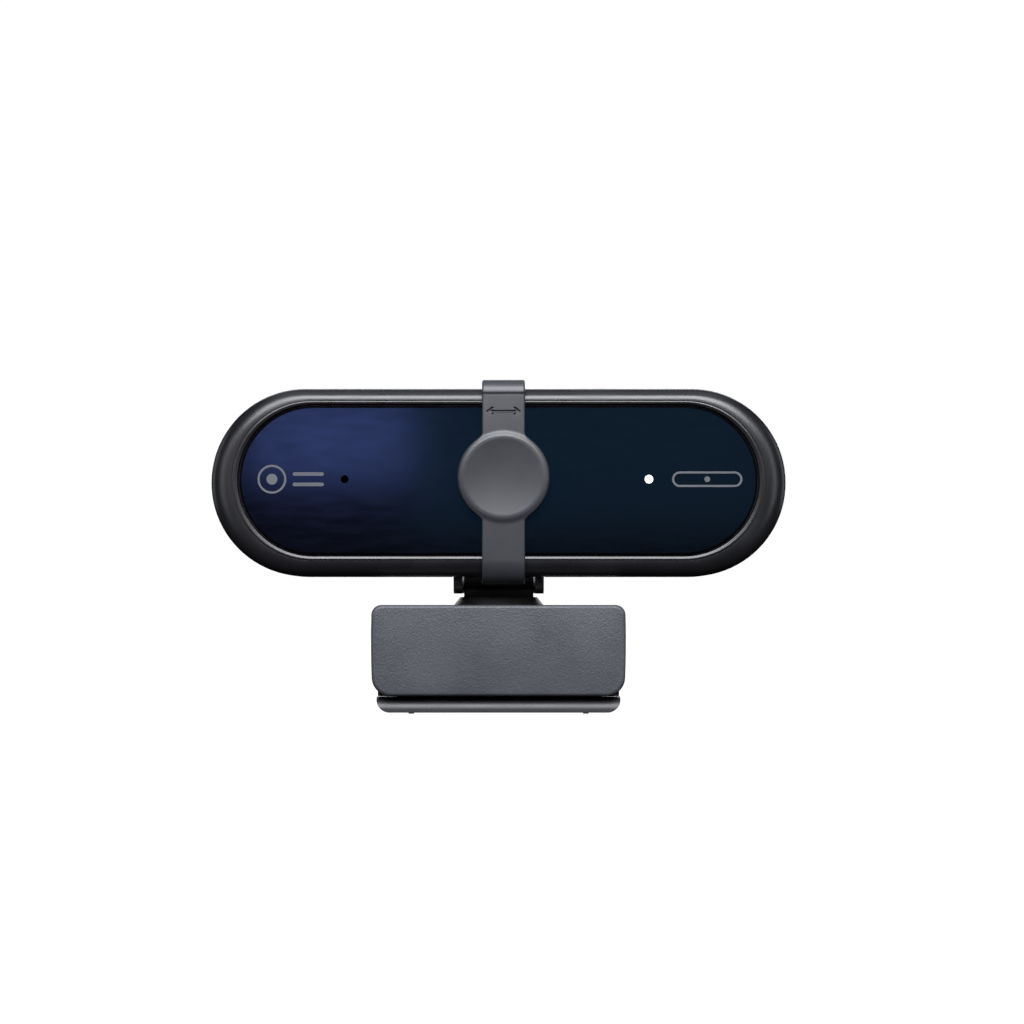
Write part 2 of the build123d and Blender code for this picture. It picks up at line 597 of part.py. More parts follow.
# ---------------------------------------------------------------- clip: bridge and front jaw
BRIDGE_REAR = HINGE_Y - KNUCKLE_R - 0.4
POCKET_R = 5.6
KNUCKLE_IN = KNUCKLE_HALF + 0.3
BRIDGE_EDGE_R = 0.8
PANEL_SCREW_R = 0.8
PANEL_HEAD_R = 1.7
PANEL_HEAD_H = 1.0
PANEL_SCREWS = [(-14.0, 9.2), (14.0, 9.2)]
with BuildPart() as clip_bridge:
    block((-BRIDGE_W / 2, BRIDGE_W / 2), (JAW_FRONT, BRIDGE_REAR), (BRIDGE_BOTTOM, BRIDGE_TOP))
    block((-JAW_W / 2, JAW_W / 2), (JAW_FRONT, JAW_BACK), (JAW_BOTTOM, BRIDGE_BOTTOM))
    inner_corner = clip_bridge.edges().filter_by(Axis.X).filter_by(
        lambda e: abs(e.center().Y - JAW_BACK) < RUNNING and abs(e.center().Z - BRIDGE_BOTTOM) < RUNNING
    )
    fillet(inner_corner, BRIDGE_EDGE_R)
    fillet(clip_bridge.faces().sort_by(Axis.Z)[-1].edges().filter_by(Axis.Y), BRIDGE_EDGE_R)
    for start in (KNUCKLE_IN, -OUTER_KNUCKLE_END):
        end = start + OUTER_KNUCKLE_END - KNUCKLE_IN
        disc_along_x(HINGE_Y, HINGE_Z, KNUCKLE_R, start, end)
        block((start, end), (BRIDGE_REAR, HINGE_Y), (BRIDGE_BOTTOM, HINGE_Z + KNUCKLE_R))
    disc_along_x(HINGE_Y, HINGE_Z, PIN_R, -OUTER_KNUCKLE_END, OUTER_KNUCKLE_END, Mode.SUBTRACT)
    disc_along_z(0, 0, POCKET_R, BRIDGE_BOTTOM, WEB_BOTTOM, Mode.SUBTRACT)
    disc_along_z(0, 0, SHAFT_R + RUNNING, WEB_BOTTOM, BRIDGE_TOP, Mode.SUBTRACT)
    for x, z in PANEL_SCREWS:
        disc_along_y(x, z, PANEL_SCREW_R + CLEAR, JAW_BACK, JAW_FRONT, Mode.SUBTRACT)
        disc_along_y(x, z, PANEL_HEAD_R + CLEAR, JAW_BACK, JAW_BACK - PANEL_HEAD_H, Mode.SUBTRACT)
save(clip_bridge, "clip_bridge")

PANEL_TOP_R = 1.7
PANEL_BOTTOM_R = 3.1
PANEL_EDGE_R = 0.5
PANEL_SCREW_TIP = CLIP_FRONT + 0.7
with BuildPart() as front_panel:
    block_along_y(
        0, (PANEL_TOP + PANEL_BOTTOM) / 2, PANEL_W, PANEL_TOP - PANEL_BOTTOM, JAW_FRONT, CLIP_FRONT
    )
    fillet(front_panel.edges().filter_by(Axis.Y).group_by(Axis.Z)[-1], PANEL_TOP_R)
    fillet(front_panel.edges().filter_by(Axis.Y).group_by(Axis.Z)[0], PANEL_BOTTOM_R)
    fillet(front_panel.faces().sort_by(Axis.Y)[0].edges(), PANEL_EDGE_R)
    for x, z in PANEL_SCREWS:
        disc_along_y(x, z, PANEL_SCREW_R, JAW_FRONT, PANEL_SCREW_TIP, Mode.SUBTRACT)
save(front_panel, "front_panel")

with BuildPart() as panel_screws:
    for x, z in PANEL_SCREWS:
        disc_along_y(x, z, PANEL_SCREW_R, JAW_BACK - PANEL_HEAD_H, PANEL_SCREW_TIP)
        disc_along_y(x, z, PANEL_HEAD_R, JAW_BACK, JAW_BACK - PANEL_HEAD_H)
save(panel_screws, "panel_screws")

PAD_HALF_X = 18.0
PAD_CORNER_R = 1.0
JAW_PAD_Z = (5.2, 13.2)
with BuildPart() as jaw_pad:
    block((-PAD_HALF_X, PAD_HALF_X), (JAW_BACK, JAW_BACK + PAD_T), JAW_PAD_Z)
    fillet(jaw_pad.edges().filter_by(Axis.Y), PAD_CORNER_R)
save(jaw_pad, "jaw_pad")

BRIDGE_PAD_Y = (JAW_BACK + 1.7, BRIDGE_REAR - 1.0)
with BuildPart() as bridge_pad:
    block((-PAD_HALF_X, PAD_HALF_X), BRIDGE_PAD_Y, (BRIDGE_BOTTOM - PAD_T, BRIDGE_BOTTOM))
    fillet(bridge_pad.edges().filter_by(Axis.Z), PAD_CORNER_R)
save(bridge_pad, "bridge_pad")

HINGE_PIN_HALF = OUTER_KNUCKLE_END - 0.4
with BuildPart() as leg_hinge_pin:
    disc_along_x(HINGE_Y, HINGE_Z, PIN_R, -HINGE_PIN_HALF, HINGE_PIN_HALF)
save(leg_hinge_pin, "leg_hinge_pin")

HINGE_WASHER_R = 3.3
with BuildPart() as hinge_washers:
    for start in (KNUCKLE_HALF, -KNUCKLE_IN):
        disc_along_x(HINGE_Y, HINGE_Z, HINGE_WASHER_R, start, start + KNUCKLE_IN - KNUCKLE_HALF)
        disc_along_x(
            HINGE_Y, HINGE_Z, WASHER_BORE_R, start, start + KNUCKLE_IN - KNUCKLE_HALF, Mode.SUBTRACT
        )
save(hinge_washers, "hinge_washers")

# ---------------------------------------------------------------- clip: folding leg
BOSS_R = 5.8
BOSS_TOP = 6.6
INSERT_R = 4.0
INSERT_TOP = 5.8
SOCKET_R = 2.55
COVER_PLATE_T = 1.0
COVER_PLATE_R = 0.6
COVER_PLATE_HALF_X = 17.4
COVER_PLATE_Y = (-10.4, 9.4)
COVER_PLATE_TOP = LEG_BOTTOM + COVER_PLATE_T
LEG_CORNER_R = 2.3
LEG_BROW_R = 2.2
HEEL_INNER_R = 2.0
HEEL_OUTER_R = 3.0
LEG_SCREW_R = 0.7
LEG_SCREW_TIP = 2.5
LEG_HEAD_R = 1.4
LEG_HEAD_H = 0.6
LEG_SCREW_X = 9.5
LEG_SCREW_Y = (-7.6, 6.8)
LEG_SCREWS = [(side * LEG_SCREW_X, y) for side in (-1, 1) for y in LEG_SCREW_Y]
POCKET_GAP = 0.1
with BuildPart() as rear_leg:
    block((-LEG_W / 2, LEG_W / 2), (LEG_FRONT, HINGE_BACK), (LEG_BOTTOM, LEG_TOP))
    block((-LEG_W / 2, LEG_W / 2), (HINGE_BACK - HEEL_T, HINGE_BACK), (LEG_TOP, HINGE_Z))
    heel_inner = rear_leg.edges().filter_by(Axis.X).filter_by(
        lambda e: abs(e.center().Z - LEG_TOP) < RUNNING and e.center().Y > 0
    )
    fillet(heel_inner, HEEL_INNER_R)
    fillet(rear_leg.edges().filter_by(Axis.X).group_by(Axis.Z)[0].sort_by(Axis.Y)[-1], HEEL_OUTER_R)
    fillet(rear_leg.edges().filter_by(Axis.X).group_by(Axis.Y)[0].sort_by(Axis.Z)[-1], LEG_BROW_R)
    fillet(rear_leg.edges().filter_by(Axis.Y).group_by(Axis.Z)[0], LEG_CORNER_R)
    for start, end in ((KNUCKLE_HALF, LEG_W / 2), (-LEG_W / 2, -KNUCKLE_HALF)):
        disc_along_x(HINGE_Y, HINGE_Z, KNUCKLE_R + 0.35, start, end, Mode.SUBTRACT)
    disc_along_x(HINGE_Y, HINGE_Z, KNUCKLE_R, -KNUCKLE_HALF, KNUCKLE_HALF)
    disc_along_x(HINGE_Y, HINGE_Z, PIN_R + RUNNING, -KNUCKLE_HALF, KNUCKLE_HALF, Mode.SUBTRACT)
    block(
        (-COVER_PLATE_HALF_X - POCKET_GAP, COVER_PLATE_HALF_X + POCKET_GAP),
        (COVER_PLATE_Y[0] - POCKET_GAP, COVER_PLATE_Y[1] + POCKET_GAP),
        (LEG_BOTTOM, COVER_PLATE_TOP),
        Mode.SUBTRACT,
    )
    disc_along_z(0, 0, BOSS_R, LEG_BOTTOM, BOSS_TOP)
    disc_along_z(0, 0, INSERT_R, LEG_BOTTOM, INSERT_TOP, Mode.SUBTRACT)
    for x, y in LEG_SCREWS:
        disc_along_z(x, y, LEG_SCREW_R, COVER_PLATE_TOP, LEG_SCREW_TIP, Mode.SUBTRACT)
save(rear_leg, "rear_leg")

FOOT_X = 15.2
FOOT_W = 0.9
FOOT_Y = (-9.6, 8.6)
FOOT_SUNK = 0.6
with BuildPart() as leg_cover:
    block((-COVER_PLATE_HALF_X, COVER_PLATE_HALF_X), COVER_PLATE_Y, (LEG_BOTTOM, COVER_PLATE_TOP))
    fillet(leg_cover.edges().filter_by(Axis.Z), COVER_PLATE_R)
    disc_along_z(0, 0, BOSS_R + POCKET_GAP, LEG_BOTTOM, COVER_PLATE_TOP, Mode.SUBTRACT)
    for x in (-FOOT_X, FOOT_X):
        block((x - FOOT_W / 2, x + FOOT_W / 2), FOOT_Y, (LEG_BOTTOM, LEG_BOTTOM + FOOT_SUNK), Mode.SUBTRACT)
    for x, y in LEG_SCREWS:
        disc_along_z(x, y, LEG_SCREW_R + CLEAR, LEG_BOTTOM, COVER_PLATE_TOP, Mode.SUBTRACT)
        disc_along_z(x, y, LEG_HEAD_R + CLEAR, LEG_BOTTOM, LEG_BOTTOM + LEG_HEAD_H, Mode.SUBTRACT)
save(leg_cover, "leg_cover")

with BuildPart() as leg_cover_screws:
    for x, y in LEG_SCREWS:
        disc_along_z(x, y, LEG_SCREW_R, LEG_BOTTOM + LEG_HEAD_H, LEG_SCREW_TIP)
        disc_along_z(x, y, LEG_HEAD_R, LEG_BOTTOM, LEG_BOTTOM + LEG_HEAD_H)
save(leg_cover_screws, "leg_cover_screws")

# Two rubber strips that the folded clip stands on.
with BuildPart() as leg_feet:
    for x in (-FOOT_X, FOOT_X):
        block((x - FOOT_W / 2, x + FOOT_W / 2), FOOT_Y, (0, LEG_BOTTOM + FOOT_SUNK))
save(leg_feet, "leg_feet")

# Brass bush with the tripod thread, moulded into the leg. Its bore is the thread's inner diameter.
with BuildPart() as tripod_insert:
    disc_along_z(0, 0, INSERT_R, LEG_BOTTOM, INSERT_TOP)
    disc_along_z(0, 0, SOCKET_R, LEG_BOTTOM, INSERT_TOP, Mode.SUBTRACT)
save(tripod_insert, "tripod_insert")

LEG_PAD_Y = (-11.0, -5.8)
with BuildPart() as leg_pad:
    block((-PAD_HALF_X, PAD_HALF_X), LEG_PAD_Y, (LEG_TOP, LEG_TOP + PAD_T))
    fillet(leg_pad.edges().filter_by(Axis.Z), PAD_CORNER_R)
save(leg_pad, "leg_pad")

# ---------------------------------------------------------------- privacy cover
COVER_FACE_BACK = BEZEL_FRONT - 0.35
COVER_TOP = HEAD_TOP + COVER_GAP + COVER_T
COVER_BOTTOM = HEAD_BOTTOM - COVER_GAP - COVER_T
COVER_SIDES = (COVER_X - COVER_W / 2, COVER_X + COVER_W / 2)
COVER_INNER_TOP_R = 1.2
COVER_INNER_BOTTOM_R = 3.1
LIP_Y = (BEZEL_BACK + 0.25, GROOVE_BACK - 0.25)
LIP_D = 0.35
DISC_EDGE_R = 0.4
DISH_BALL_R = (DISH_R**2 + DISH_D**2) / (2 * DISH_D)
ARROW_Z = 52.4
ARROW_HALF = 2.7
ARROW_HEAD_X = 0.75
ARROW_HEAD_Z = 0.55
ARROW_HEAD_L = (ARROW_HEAD_X**2 + ARROW_HEAD_Z**2) ** 0.5
ARROW_HEAD_TURN = 36.3
ARROW_LINE = 0.3
ARROW_DEPTH = 0.25
CREASE_Z = 55.35
CREASE_W = 0.25
CREASE_DEPTH = 0.2

# Room that the head takes inside the strap.
with BuildPart() as cover_room:
    block(
        COVER_SIDES,
        (COVER_FACE_BACK, COVER_BACK),
        (HEAD_BOTTOM - COVER_GAP, HEAD_TOP + COVER_GAP),
    )
    room_corners = cover_room.edges().filter_by(Axis.X).group_by(Axis.Y)[0].sort_by(Axis.Z)
    fillet(room_corners[0], COVER_INNER_BOTTOM_R)
    fillet(room_corners[-1], COVER_INNER_TOP_R)

# Round plate over the lens.
with BuildPart() as cover_disc:
    disc_along_y(COVER_X, LENS_Z, DISC_R, COVER_FACE_BACK, DISC_FRONT)
    fillet(cover_disc.faces().sort_by(Axis.Y)[0].edges(), DISC_EDGE_R)

with BuildPart() as privacy_cover:
    block(COVER_SIDES, (COVER_FRONT, COVER_BACK), (COVER_BOTTOM, COVER_TOP))
    strap_corners = privacy_cover.edges().filter_by(Axis.X).group_by(Axis.Y)[0].sort_by(Axis.Z)
    fillet(strap_corners[0], COVER_BOTTOM_R)
    fillet(strap_corners[-1], COVER_TOP_R)
    add(cover_disc.part)
    with Locations((COVER_X, DISC_FRONT + DISH_D - DISH_BALL_R, LENS_Z)):
        Sphere(DISH_BALL_R, mode=Mode.SUBTRACT)
    add(cover_room.part, mode=Mode.SUBTRACT)
    # lips that ride in the groove between bezel and rear shell
    block(COVER_SIDES, LIP_Y, (HEAD_TOP - LIP_D, HEAD_TOP + COVER_GAP))
    block(COVER_SIDES, LIP_Y, (HEAD_BOTTOM - COVER_GAP, HEAD_BOTTOM + LIP_D))
    # engraved double arrow, and a crease under the rolled top
    with BuildSketch(facing(COVER_FRONT + ARROW_DEPTH)):
        with Locations((COVER_X, ARROW_Z)):
            Rectangle(2 * ARROW_HALF, ARROW_LINE)
        for side in (-1, 1):
            for rise in (-1, 1):
                centre_x = COVER_X + side * (ARROW_HALF - ARROW_HEAD_X / 2)
                with Locations((centre_x, ARROW_Z + rise * ARROW_HEAD_Z / 2)):
                    Rectangle(ARROW_HEAD_L, ARROW_LINE, rotation=-side * rise * ARROW_HEAD_TURN)
    extrude(amount=2 * ARROW_DEPTH, mode=Mode.SUBTRACT)
    block(
        COVER_SIDES,
        (COVER_FRONT - CREASE_DEPTH, COVER_FRONT + CREASE_DEPTH),
        (CREASE_Z - CREASE_W / 2, CREASE_Z + CREASE_W / 2),
        Mode.SUBTRACT,
    )
save(privacy_cover, "privacy_cover")
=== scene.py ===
import bpy
import bmesh
import numpy as np
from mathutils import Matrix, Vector


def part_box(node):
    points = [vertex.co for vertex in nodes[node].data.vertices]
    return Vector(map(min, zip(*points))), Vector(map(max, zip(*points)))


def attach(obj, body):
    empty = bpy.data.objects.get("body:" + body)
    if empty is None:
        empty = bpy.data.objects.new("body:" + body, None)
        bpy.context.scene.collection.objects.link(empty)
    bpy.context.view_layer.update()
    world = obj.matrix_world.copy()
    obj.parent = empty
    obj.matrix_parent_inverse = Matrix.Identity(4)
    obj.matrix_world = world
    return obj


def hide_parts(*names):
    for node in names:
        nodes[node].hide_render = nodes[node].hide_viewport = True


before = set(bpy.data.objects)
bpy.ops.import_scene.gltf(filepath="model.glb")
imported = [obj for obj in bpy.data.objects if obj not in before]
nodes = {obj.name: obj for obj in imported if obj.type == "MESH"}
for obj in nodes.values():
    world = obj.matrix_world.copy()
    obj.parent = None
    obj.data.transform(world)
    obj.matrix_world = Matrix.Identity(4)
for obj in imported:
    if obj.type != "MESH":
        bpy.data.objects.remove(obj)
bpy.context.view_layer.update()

# ------------------------------------------------------------------ rear shell
# Rear casing of the head, moulded ABS with a satin black skin, its back rounded over to a flat. The step
# in its front rim lies under the bezel, and the groove for the privacy cover's lips is left out. Held by
# screws under the glass.

MM = 0.001
ARC_STEPS = 44
SHELL_WALL = 1.6
SHELL_ROUND = 10.0
RIM_STEP = 0.7
RIM_DEPTH = 1.1
RIM_EDGE = 0.12
OPENING_X = 8.15
OPENING_Y = 5.75
OPENING_MID = -1.1
CABLE_Z = 38.2
CABLE_HOLE_R = 2.9


def box_mm(node):
    """Lowest and highest corner of a CAD node, in millimetres."""
    return [np.array(corner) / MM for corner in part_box(node)]


def add(tree, kind, settings=None, **inputs):
    """A shader node; each input is a value, or the output socket of another node."""
    new = tree.nodes.new("ShaderNode" + kind)
    for key, value in (settings or {}).items():
        setattr(new, key, value)
    for key, value in inputs.items():
        socket = new.inputs[key.replace("_", " ")]
        if isinstance(value, bpy.types.NodeSocket):
            tree.links.new(value, socket)
        else:
            socket.default_value = value
    return new


def ramp(tree, factor, *stops):
    """A colour ramp between (place, colour) stops."""
    new = add(tree, "ValToRGB", Fac=factor)
    new.color_ramp.elements[0].position, new.color_ramp.elements[0].color = stops[0]
    new.color_ramp.elements[1].position, new.color_ramp.elements[1].color = stops[-1]
    for place, colour in stops[1:-1]:
        new.color_ramp.elements.new(place).color = colour
    return new.outputs["Color"]


def shade(colour, factor):
    """A colour made lighter or darker, with full opacity."""
    return (*[min(1.0, c * factor) for c in colour], 1.0)


def object_place(tree):
    """Object coordinates."""
    return add(tree, "TexCoord").outputs["Object"]


def noise(tree, place, scale, **inputs):
    """Strength of a fractal noise with this many cells to the metre."""
    return add(tree, "TexNoise", Vector=place, Scale=scale, **inputs).outputs["Fac"]


def spread(tree, value, given, wanted):
    """A value carried over from one range to another."""
    limits = {"From_Min": given[0], "From_Max": given[1], "To_Min": wanted[0], "To_Max": wanted[1]}
    return add(tree, "MapRange", Value=value, **limits).outputs["Result"]


def new_material(name):
    """A material with nodes, its node tree and its shader."""
    material = bpy.data.materials.new(name)
    material.use_nodes = True
    return material, material.node_tree, material.node_tree.nodes["Principled BSDF"]


def moulded(name, colour, rough, grain, depth, mottle=0.12, stretch=(1, 1, 1), specular=0.5):
    """A moulded finish in Object coordinates. Fractal noise with cells of `grain` mm is the tool's
    texture, `depth` mm deep as bump; noise with cells of 9 mm shifts colour by `mottle` and roughness by
    0.04, as the melt's flow and handling do; and sparse noise of 1.5 mm lightens a few spots, as dust
    does."""
    material, tree, shader = new_material(name)
    place = add(tree, "Mapping", Vector=object_place(tree), Scale=stretch).outputs["Vector"]
    broad = noise(tree, place, 1 / (9 * MM), Detail=3.0)
    fine = noise(tree, place, 1 / (grain * MM), Detail=3.0, Roughness=0.55)
    dust = noise(tree, place, 1 / (1.5 * MM), Detail=6.0, Roughness=0.75)
    base = ramp(tree, broad, (0.3, shade(colour, 1 - mottle)), (0.7, shade(colour, 1 + mottle)))
    speck = ramp(tree, dust, (0.66, (0, 0, 0, 1)), (0.74, (1, 1, 1, 1)))
    mixed = add(tree, "Mix", {"data_type": "RGBA"})
    tree.links.new(speck, mixed.inputs["Factor"])
    tree.links.new(base, mixed.inputs["A"])
    mixed.inputs["B"].default_value = shade(colour, 1.5)
    tree.links.new(mixed.outputs["Result"], shader.inputs["Base Color"])
    tree.links.new(spread(tree, broad, (0.3, 0.7), (rough - 0.04, rough + 0.04)), shader.inputs["Roughness"])
    bump = add(tree, "Bump", Strength=1.0, Distance=depth * MM, Height=fine)
    tree.links.new(bump.outputs["Normal"], shader.inputs["Normal"])
    shader.inputs["Specular IOR Level"].default_value = specular
    return material


def make_piece(name, points, faces, finish, body, stands_for=(), sharp=32):
    """A mesh object at the origin, from points in millimetres. Doubles are merged, faces are made
    consistent, and all are turned over if the sum of area * normal . (face - middle) is negative, so they
    point outwards."""
    mesh = bpy.data.meshes.new(name)
    mesh.from_pydata((np.reshape(points, (-1, 3)) * MM).tolist(), [], faces)
    form = bmesh.new()
    form.from_mesh(mesh)
    bmesh.ops.remove_doubles(form, verts=form.verts, dist=1e-7)
    bmesh.ops.recalc_face_normals(form, faces=form.faces)
    form.to_mesh(mesh)
    form.free()
    count = len(mesh.polygons)
    centre, normal, area = np.empty(3 * count), np.empty(3 * count), np.empty(count)
    mesh.polygons.foreach_get("center", centre)
    mesh.polygons.foreach_get("normal", normal)
    mesh.polygons.foreach_get("area", area)
    centre, normal = centre.reshape(-1, 3), normal.reshape(-1, 3)
    if ((centre - centre.mean(0)) * normal * area[:, None]).sum() < 0:
        mesh.flip_normals()
    mesh.polygons.foreach_set("use_smooth", np.ones(count, bool))
    mesh.set_sharp_from_angle(angle=np.radians(sharp))
    piece = bpy.data.objects.new(name, mesh)
    bpy.context.scene.collection.objects.link(piece)
    mesh.materials.append(finish)
    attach(piece, body)
    if stands_for:
        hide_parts(*stands_for)
    return piece


def ring_faces(index, closed=False, caps=False):
    """Quads that join rings of point numbers one to the next; the last joins the first when closed, and
    caps fill the first and last rings."""
    near = index if closed else index[:-1]
    far = np.roll(index, -1, axis=0) if closed else index[1:]
    quads = np.stack([near, np.roll(near, -1, axis=1), np.roll(far, -1, axis=1), far], axis=-1)
    faces = quads.reshape(-1, 4).tolist()
    if caps:
        faces += [index[0][::-1].tolist(), index[-1].tolist()]
    return faces


def numbered(rings):
    """Point numbers of an array of rings, in the array's own shape."""
    return np.arange(rings.shape[0] * rings.shape[1]).reshape(rings.shape[:2])


shell_lo, shell_hi = box_mm("rear_shell")
HEAD_W = shell_hi[0] - shell_lo[0]
HEAD_H = shell_hi[2] - shell_lo[2]
HEAD_Z = (shell_hi[2] + shell_lo[2]) / 2
STRAIGHT = (HEAD_W - HEAD_H) / 2
cut = OPENING_X / STRAIGHT
turn = np.linspace(-np.pi / 2, np.pi / 2, ARC_STEPS, endpoint=False)
slide = np.concatenate([
    np.linspace(1, cut, 18, endpoint=False),
    np.linspace(cut, -cut, 12, endpoint=False),
    np.linspace(-cut, -1, 18, endpoint=False),
])
still = np.zeros(len(slide))
ones = np.ones(ARC_STEPS)
PILL_S = np.concatenate([ones, slide, -ones, -slide])
PILL_X = np.concatenate([np.cos(turn), still, -np.cos(turn), still])
PILL_Z = np.concatenate([np.sin(turn), still + 1, -np.sin(turn), still - 1])


def pill(width, height, middle, y):
    """Rings of a pill outline, one for each entry of the arguments: x = s * (width - height) / 2 + r cos
    a and z = middle + r sin a with r = height / 2. On the right s is 1 and a turns half a circle, along
    the top s slides to -1 with a upright, and the same again on the left and below."""
    rows = np.broadcast_arrays(width, height, middle, y)
    width, height, middle, y = [np.atleast_1d(row).astype(float)[:, None] for row in rows]
    x = PILL_S * (width - height) / 2 + PILL_X * height / 2
    z = middle + PILL_Z * height / 2
    return np.stack([x, y + 0 * x, z], axis=-1)


def hole_ring(outline, x, z, radius, y):
    """Circle with one point towards each point of an outline: centre + radius * direction."""
    way = outline[..., [0, 2]] - (x, z)
    way /= np.linalg.norm(way, axis=-1, keepdims=True)
    level = np.full(way.shape[:-1], y)
    return np.stack([x + radius * way[..., 0], level, z + radius * way[..., 1]], axis=-1)


def rounded_back(radius, inset):
    """(y, inset) rows over the rounded back: y = start + r sin a, inset grows by r (1 - cos a). The
    fourth row lies on the back edge of the opening for the neck."""
    start = shell_hi[1] - SHELL_ROUND
    split = np.arcsin((OPENING_Y - start) / radius)
    a = np.concatenate([np.linspace(0, split, 4), np.linspace(split, np.pi / 2, 15)[1:]])
    return start + radius * np.sin(a), inset + radius * (1 - np.cos(a))


satin_black = moulded("satin_black_plastic", (0.007, 0.007, 0.0082), 0.3, 0.09, 0.004)

rim_y = shell_lo[1]
back_y, back_inset = rounded_back(SHELL_ROUND, 0)
step_y = rim_y + RIM_DEPTH
outer_y = np.concatenate([[rim_y, step_y, step_y, step_y + RIM_EDGE, -OPENING_Y, OPENING_MID], back_y])
outer_in = np.concatenate([[RIM_STEP, RIM_STEP, RIM_EDGE, 0, 0, 0], back_inset])
wall_y, wall_in = rounded_back(SHELL_ROUND - SHELL_WALL, SHELL_WALL)
inner_y = np.concatenate([[rim_y, -OPENING_Y, OPENING_MID], wall_y])
inner_in = np.concatenate([[SHELL_WALL, SHELL_WALL, SHELL_WALL], wall_in])
outside = pill(HEAD_W - 2 * outer_in, HEAD_H - 2 * outer_in, HEAD_Z, outer_y)
inside = pill(HEAD_W - 2 * inner_in, HEAD_H - 2 * inner_in, HEAD_Z, inner_y)
shell_rings = np.concatenate([
    outside,
    hole_ring(outside[-1:], 0, CABLE_Z, CABLE_HOLE_R, outer_y[-1]),
    hole_ring(inside[-1:], 0, CABLE_Z, CABLE_HOLE_R, inner_y[-1]),
    inside[::-1],
])
shell_index = numbered(shell_rings)
shell_quads = np.array(ring_faces(shell_index, closed=True))
middle = shell_rings.reshape(-1, 3)[shell_quads].mean(axis=1)
below_middle = middle[:, 2] < HEAD_Z - HEAD_H / 4
in_opening = (abs(middle[:, 0]) < OPENING_X) & (abs(middle[:, 1]) < OPENING_Y) & below_middle
columns = np.flatnonzero((abs(shell_rings[5, :, 0]) < OPENING_X + 0.01) & (shell_rings[5, :, 2] < HEAD_Z))


def opening_lap(rows):
    """Point numbers once round the opening, given the numbers of its rings from front to back."""
    c = columns
    return np.concatenate([
        shell_index[rows[0], c[:-1]], shell_index[rows[:-1], c[-1]],
        shell_index[rows[-1], c[:0:-1]], shell_index[rows[:0:-1], c[0]],
    ])


outer_rows = np.flatnonzero(abs(outer_y) < OPENING_Y + 0.01)
inner_rows = len(shell_rings) - 1 - np.flatnonzero(abs(inner_y) < OPENING_Y + 0.01)
opening_edge = ring_faces(np.stack([opening_lap(outer_rows), opening_lap(inner_rows)]))
make_piece(
    "rear_shell_skin", shell_rings, shell_quads[~in_opening].tolist() + opening_edge, satin_black, "head",
    ["rear_shell"],
)

# ------------------------------------------------------------------ front bezel
# Front ring of the head with its plate, moulded in the same satin black ABS. The ring rolls over from the
# sides, lies flat, has a hairline groove, and ends in a thin lip round the glass. The plate behind the
# glass is drilled.

BEZEL_ROLL = 2.4
ROLL_SHARE = 0.77
BEAD_SHARE = 0.87
BEAD_HALF = 0.06
BEAD_DROP = 0.05
BEZEL_MID = -9.0
HAIRLINE = 0.12
LIP_DROP = 0.3
PLATE_T = 1.2
POCKET_GAP = 0.3
LENS_Z = 41.0
LENS_WINDOW_R = 7.0
SCREW_X = 38.0
SCREW_RISE = 8.0
SCREW_HOLE_R = 0.9
CUT_PAST = 0.5


def drill(piece, holes, sharp=30):
    """Cuts round holes through a closed piece from front to back, each (x, z, radius, start, end). The
    cutter is a prism of 40 sides and is removed once the cut is made."""
    round_off = np.linspace(0, 2 * np.pi, 40, endpoint=False)
    for x, z, radius, start, end in holes:
        lap = np.stack([x + radius * np.cos(round_off), z + radius * np.sin(round_off)], axis=-1)
        prism = np.stack([np.insert(lap, 1, start, axis=1), np.insert(lap, 1, end, axis=1)])
        faces = ring_faces(numbered(prism), caps=True)
        cutter = make_piece("cutter", prism, faces, piece.data.materials[0], "head")
        cut_away = piece.modifiers.new("hole", "BOOLEAN")
        cut_away.operation, cut_away.solver, cut_away.object = "DIFFERENCE", "EXACT", cutter
        settle(piece, sharp)
        bpy.data.meshes.remove(cutter.data)


def settle(piece, sharp):
    """Works a piece's modifiers into its mesh, and marks edges over the given angle as sharp again."""
    bpy.context.view_layer.update()
    done = bpy.data.meshes.new_from_object(piece.evaluated_get(bpy.context.evaluated_depsgraph_get()))
    piece.modifiers.clear()
    old, piece.data = piece.data, done
    bpy.data.meshes.remove(old)
    done.name = piece.name
    done.set_sharp_from_angle(angle=np.radians(sharp))


bezel_lo, bezel_hi = box_mm("front_bezel")
glass_lo, glass_hi = box_mm("front_glass")
plate_y = box_mm("glass_adhesive")[1][1]
POCKET_W = glass_hi[0] - glass_lo[0] + 2 * POCKET_GAP
POCKET_H = glass_hi[2] - glass_lo[2] + 2 * POCKET_GAP
GLASS_Z = (glass_hi[2] + glass_lo[2]) / 2
front_y = bezel_lo[1]
roll = np.linspace(0, np.pi / 2, 14)
bead = np.linspace(-1, 1, 7)
share = np.concatenate([
    [0, 0],
    ROLL_SHARE * (1 - np.cos(roll)),
    [0.775, 0.8],
    BEAD_SHARE + BEAD_HALF * bead,
    [0.955, 0.985, 1, 1],
])
depth = np.concatenate([
    [bezel_hi[1], BEZEL_MID],
    front_y + BEZEL_ROLL * (1 - np.sin(roll)),
    front_y + np.array([HAIRLINE, HAIRLINE]),
    front_y + BEAD_DROP * bead**2,
    front_y + np.array([0.06, 0.1, LIP_DROP, plate_y - front_y]),
])
face_rings = pill(
    HEAD_W + share * (POCKET_W - HEAD_W),
    HEAD_H + share * (POCKET_H - HEAD_H),
    HEAD_Z + share * (GLASS_Z - HEAD_Z),
    depth,
)
cavity = pill(HEAD_W - 2 * SHELL_WALL, HEAD_H - 2 * SHELL_WALL, HEAD_Z, [plate_y + PLATE_T, bezel_hi[1]])
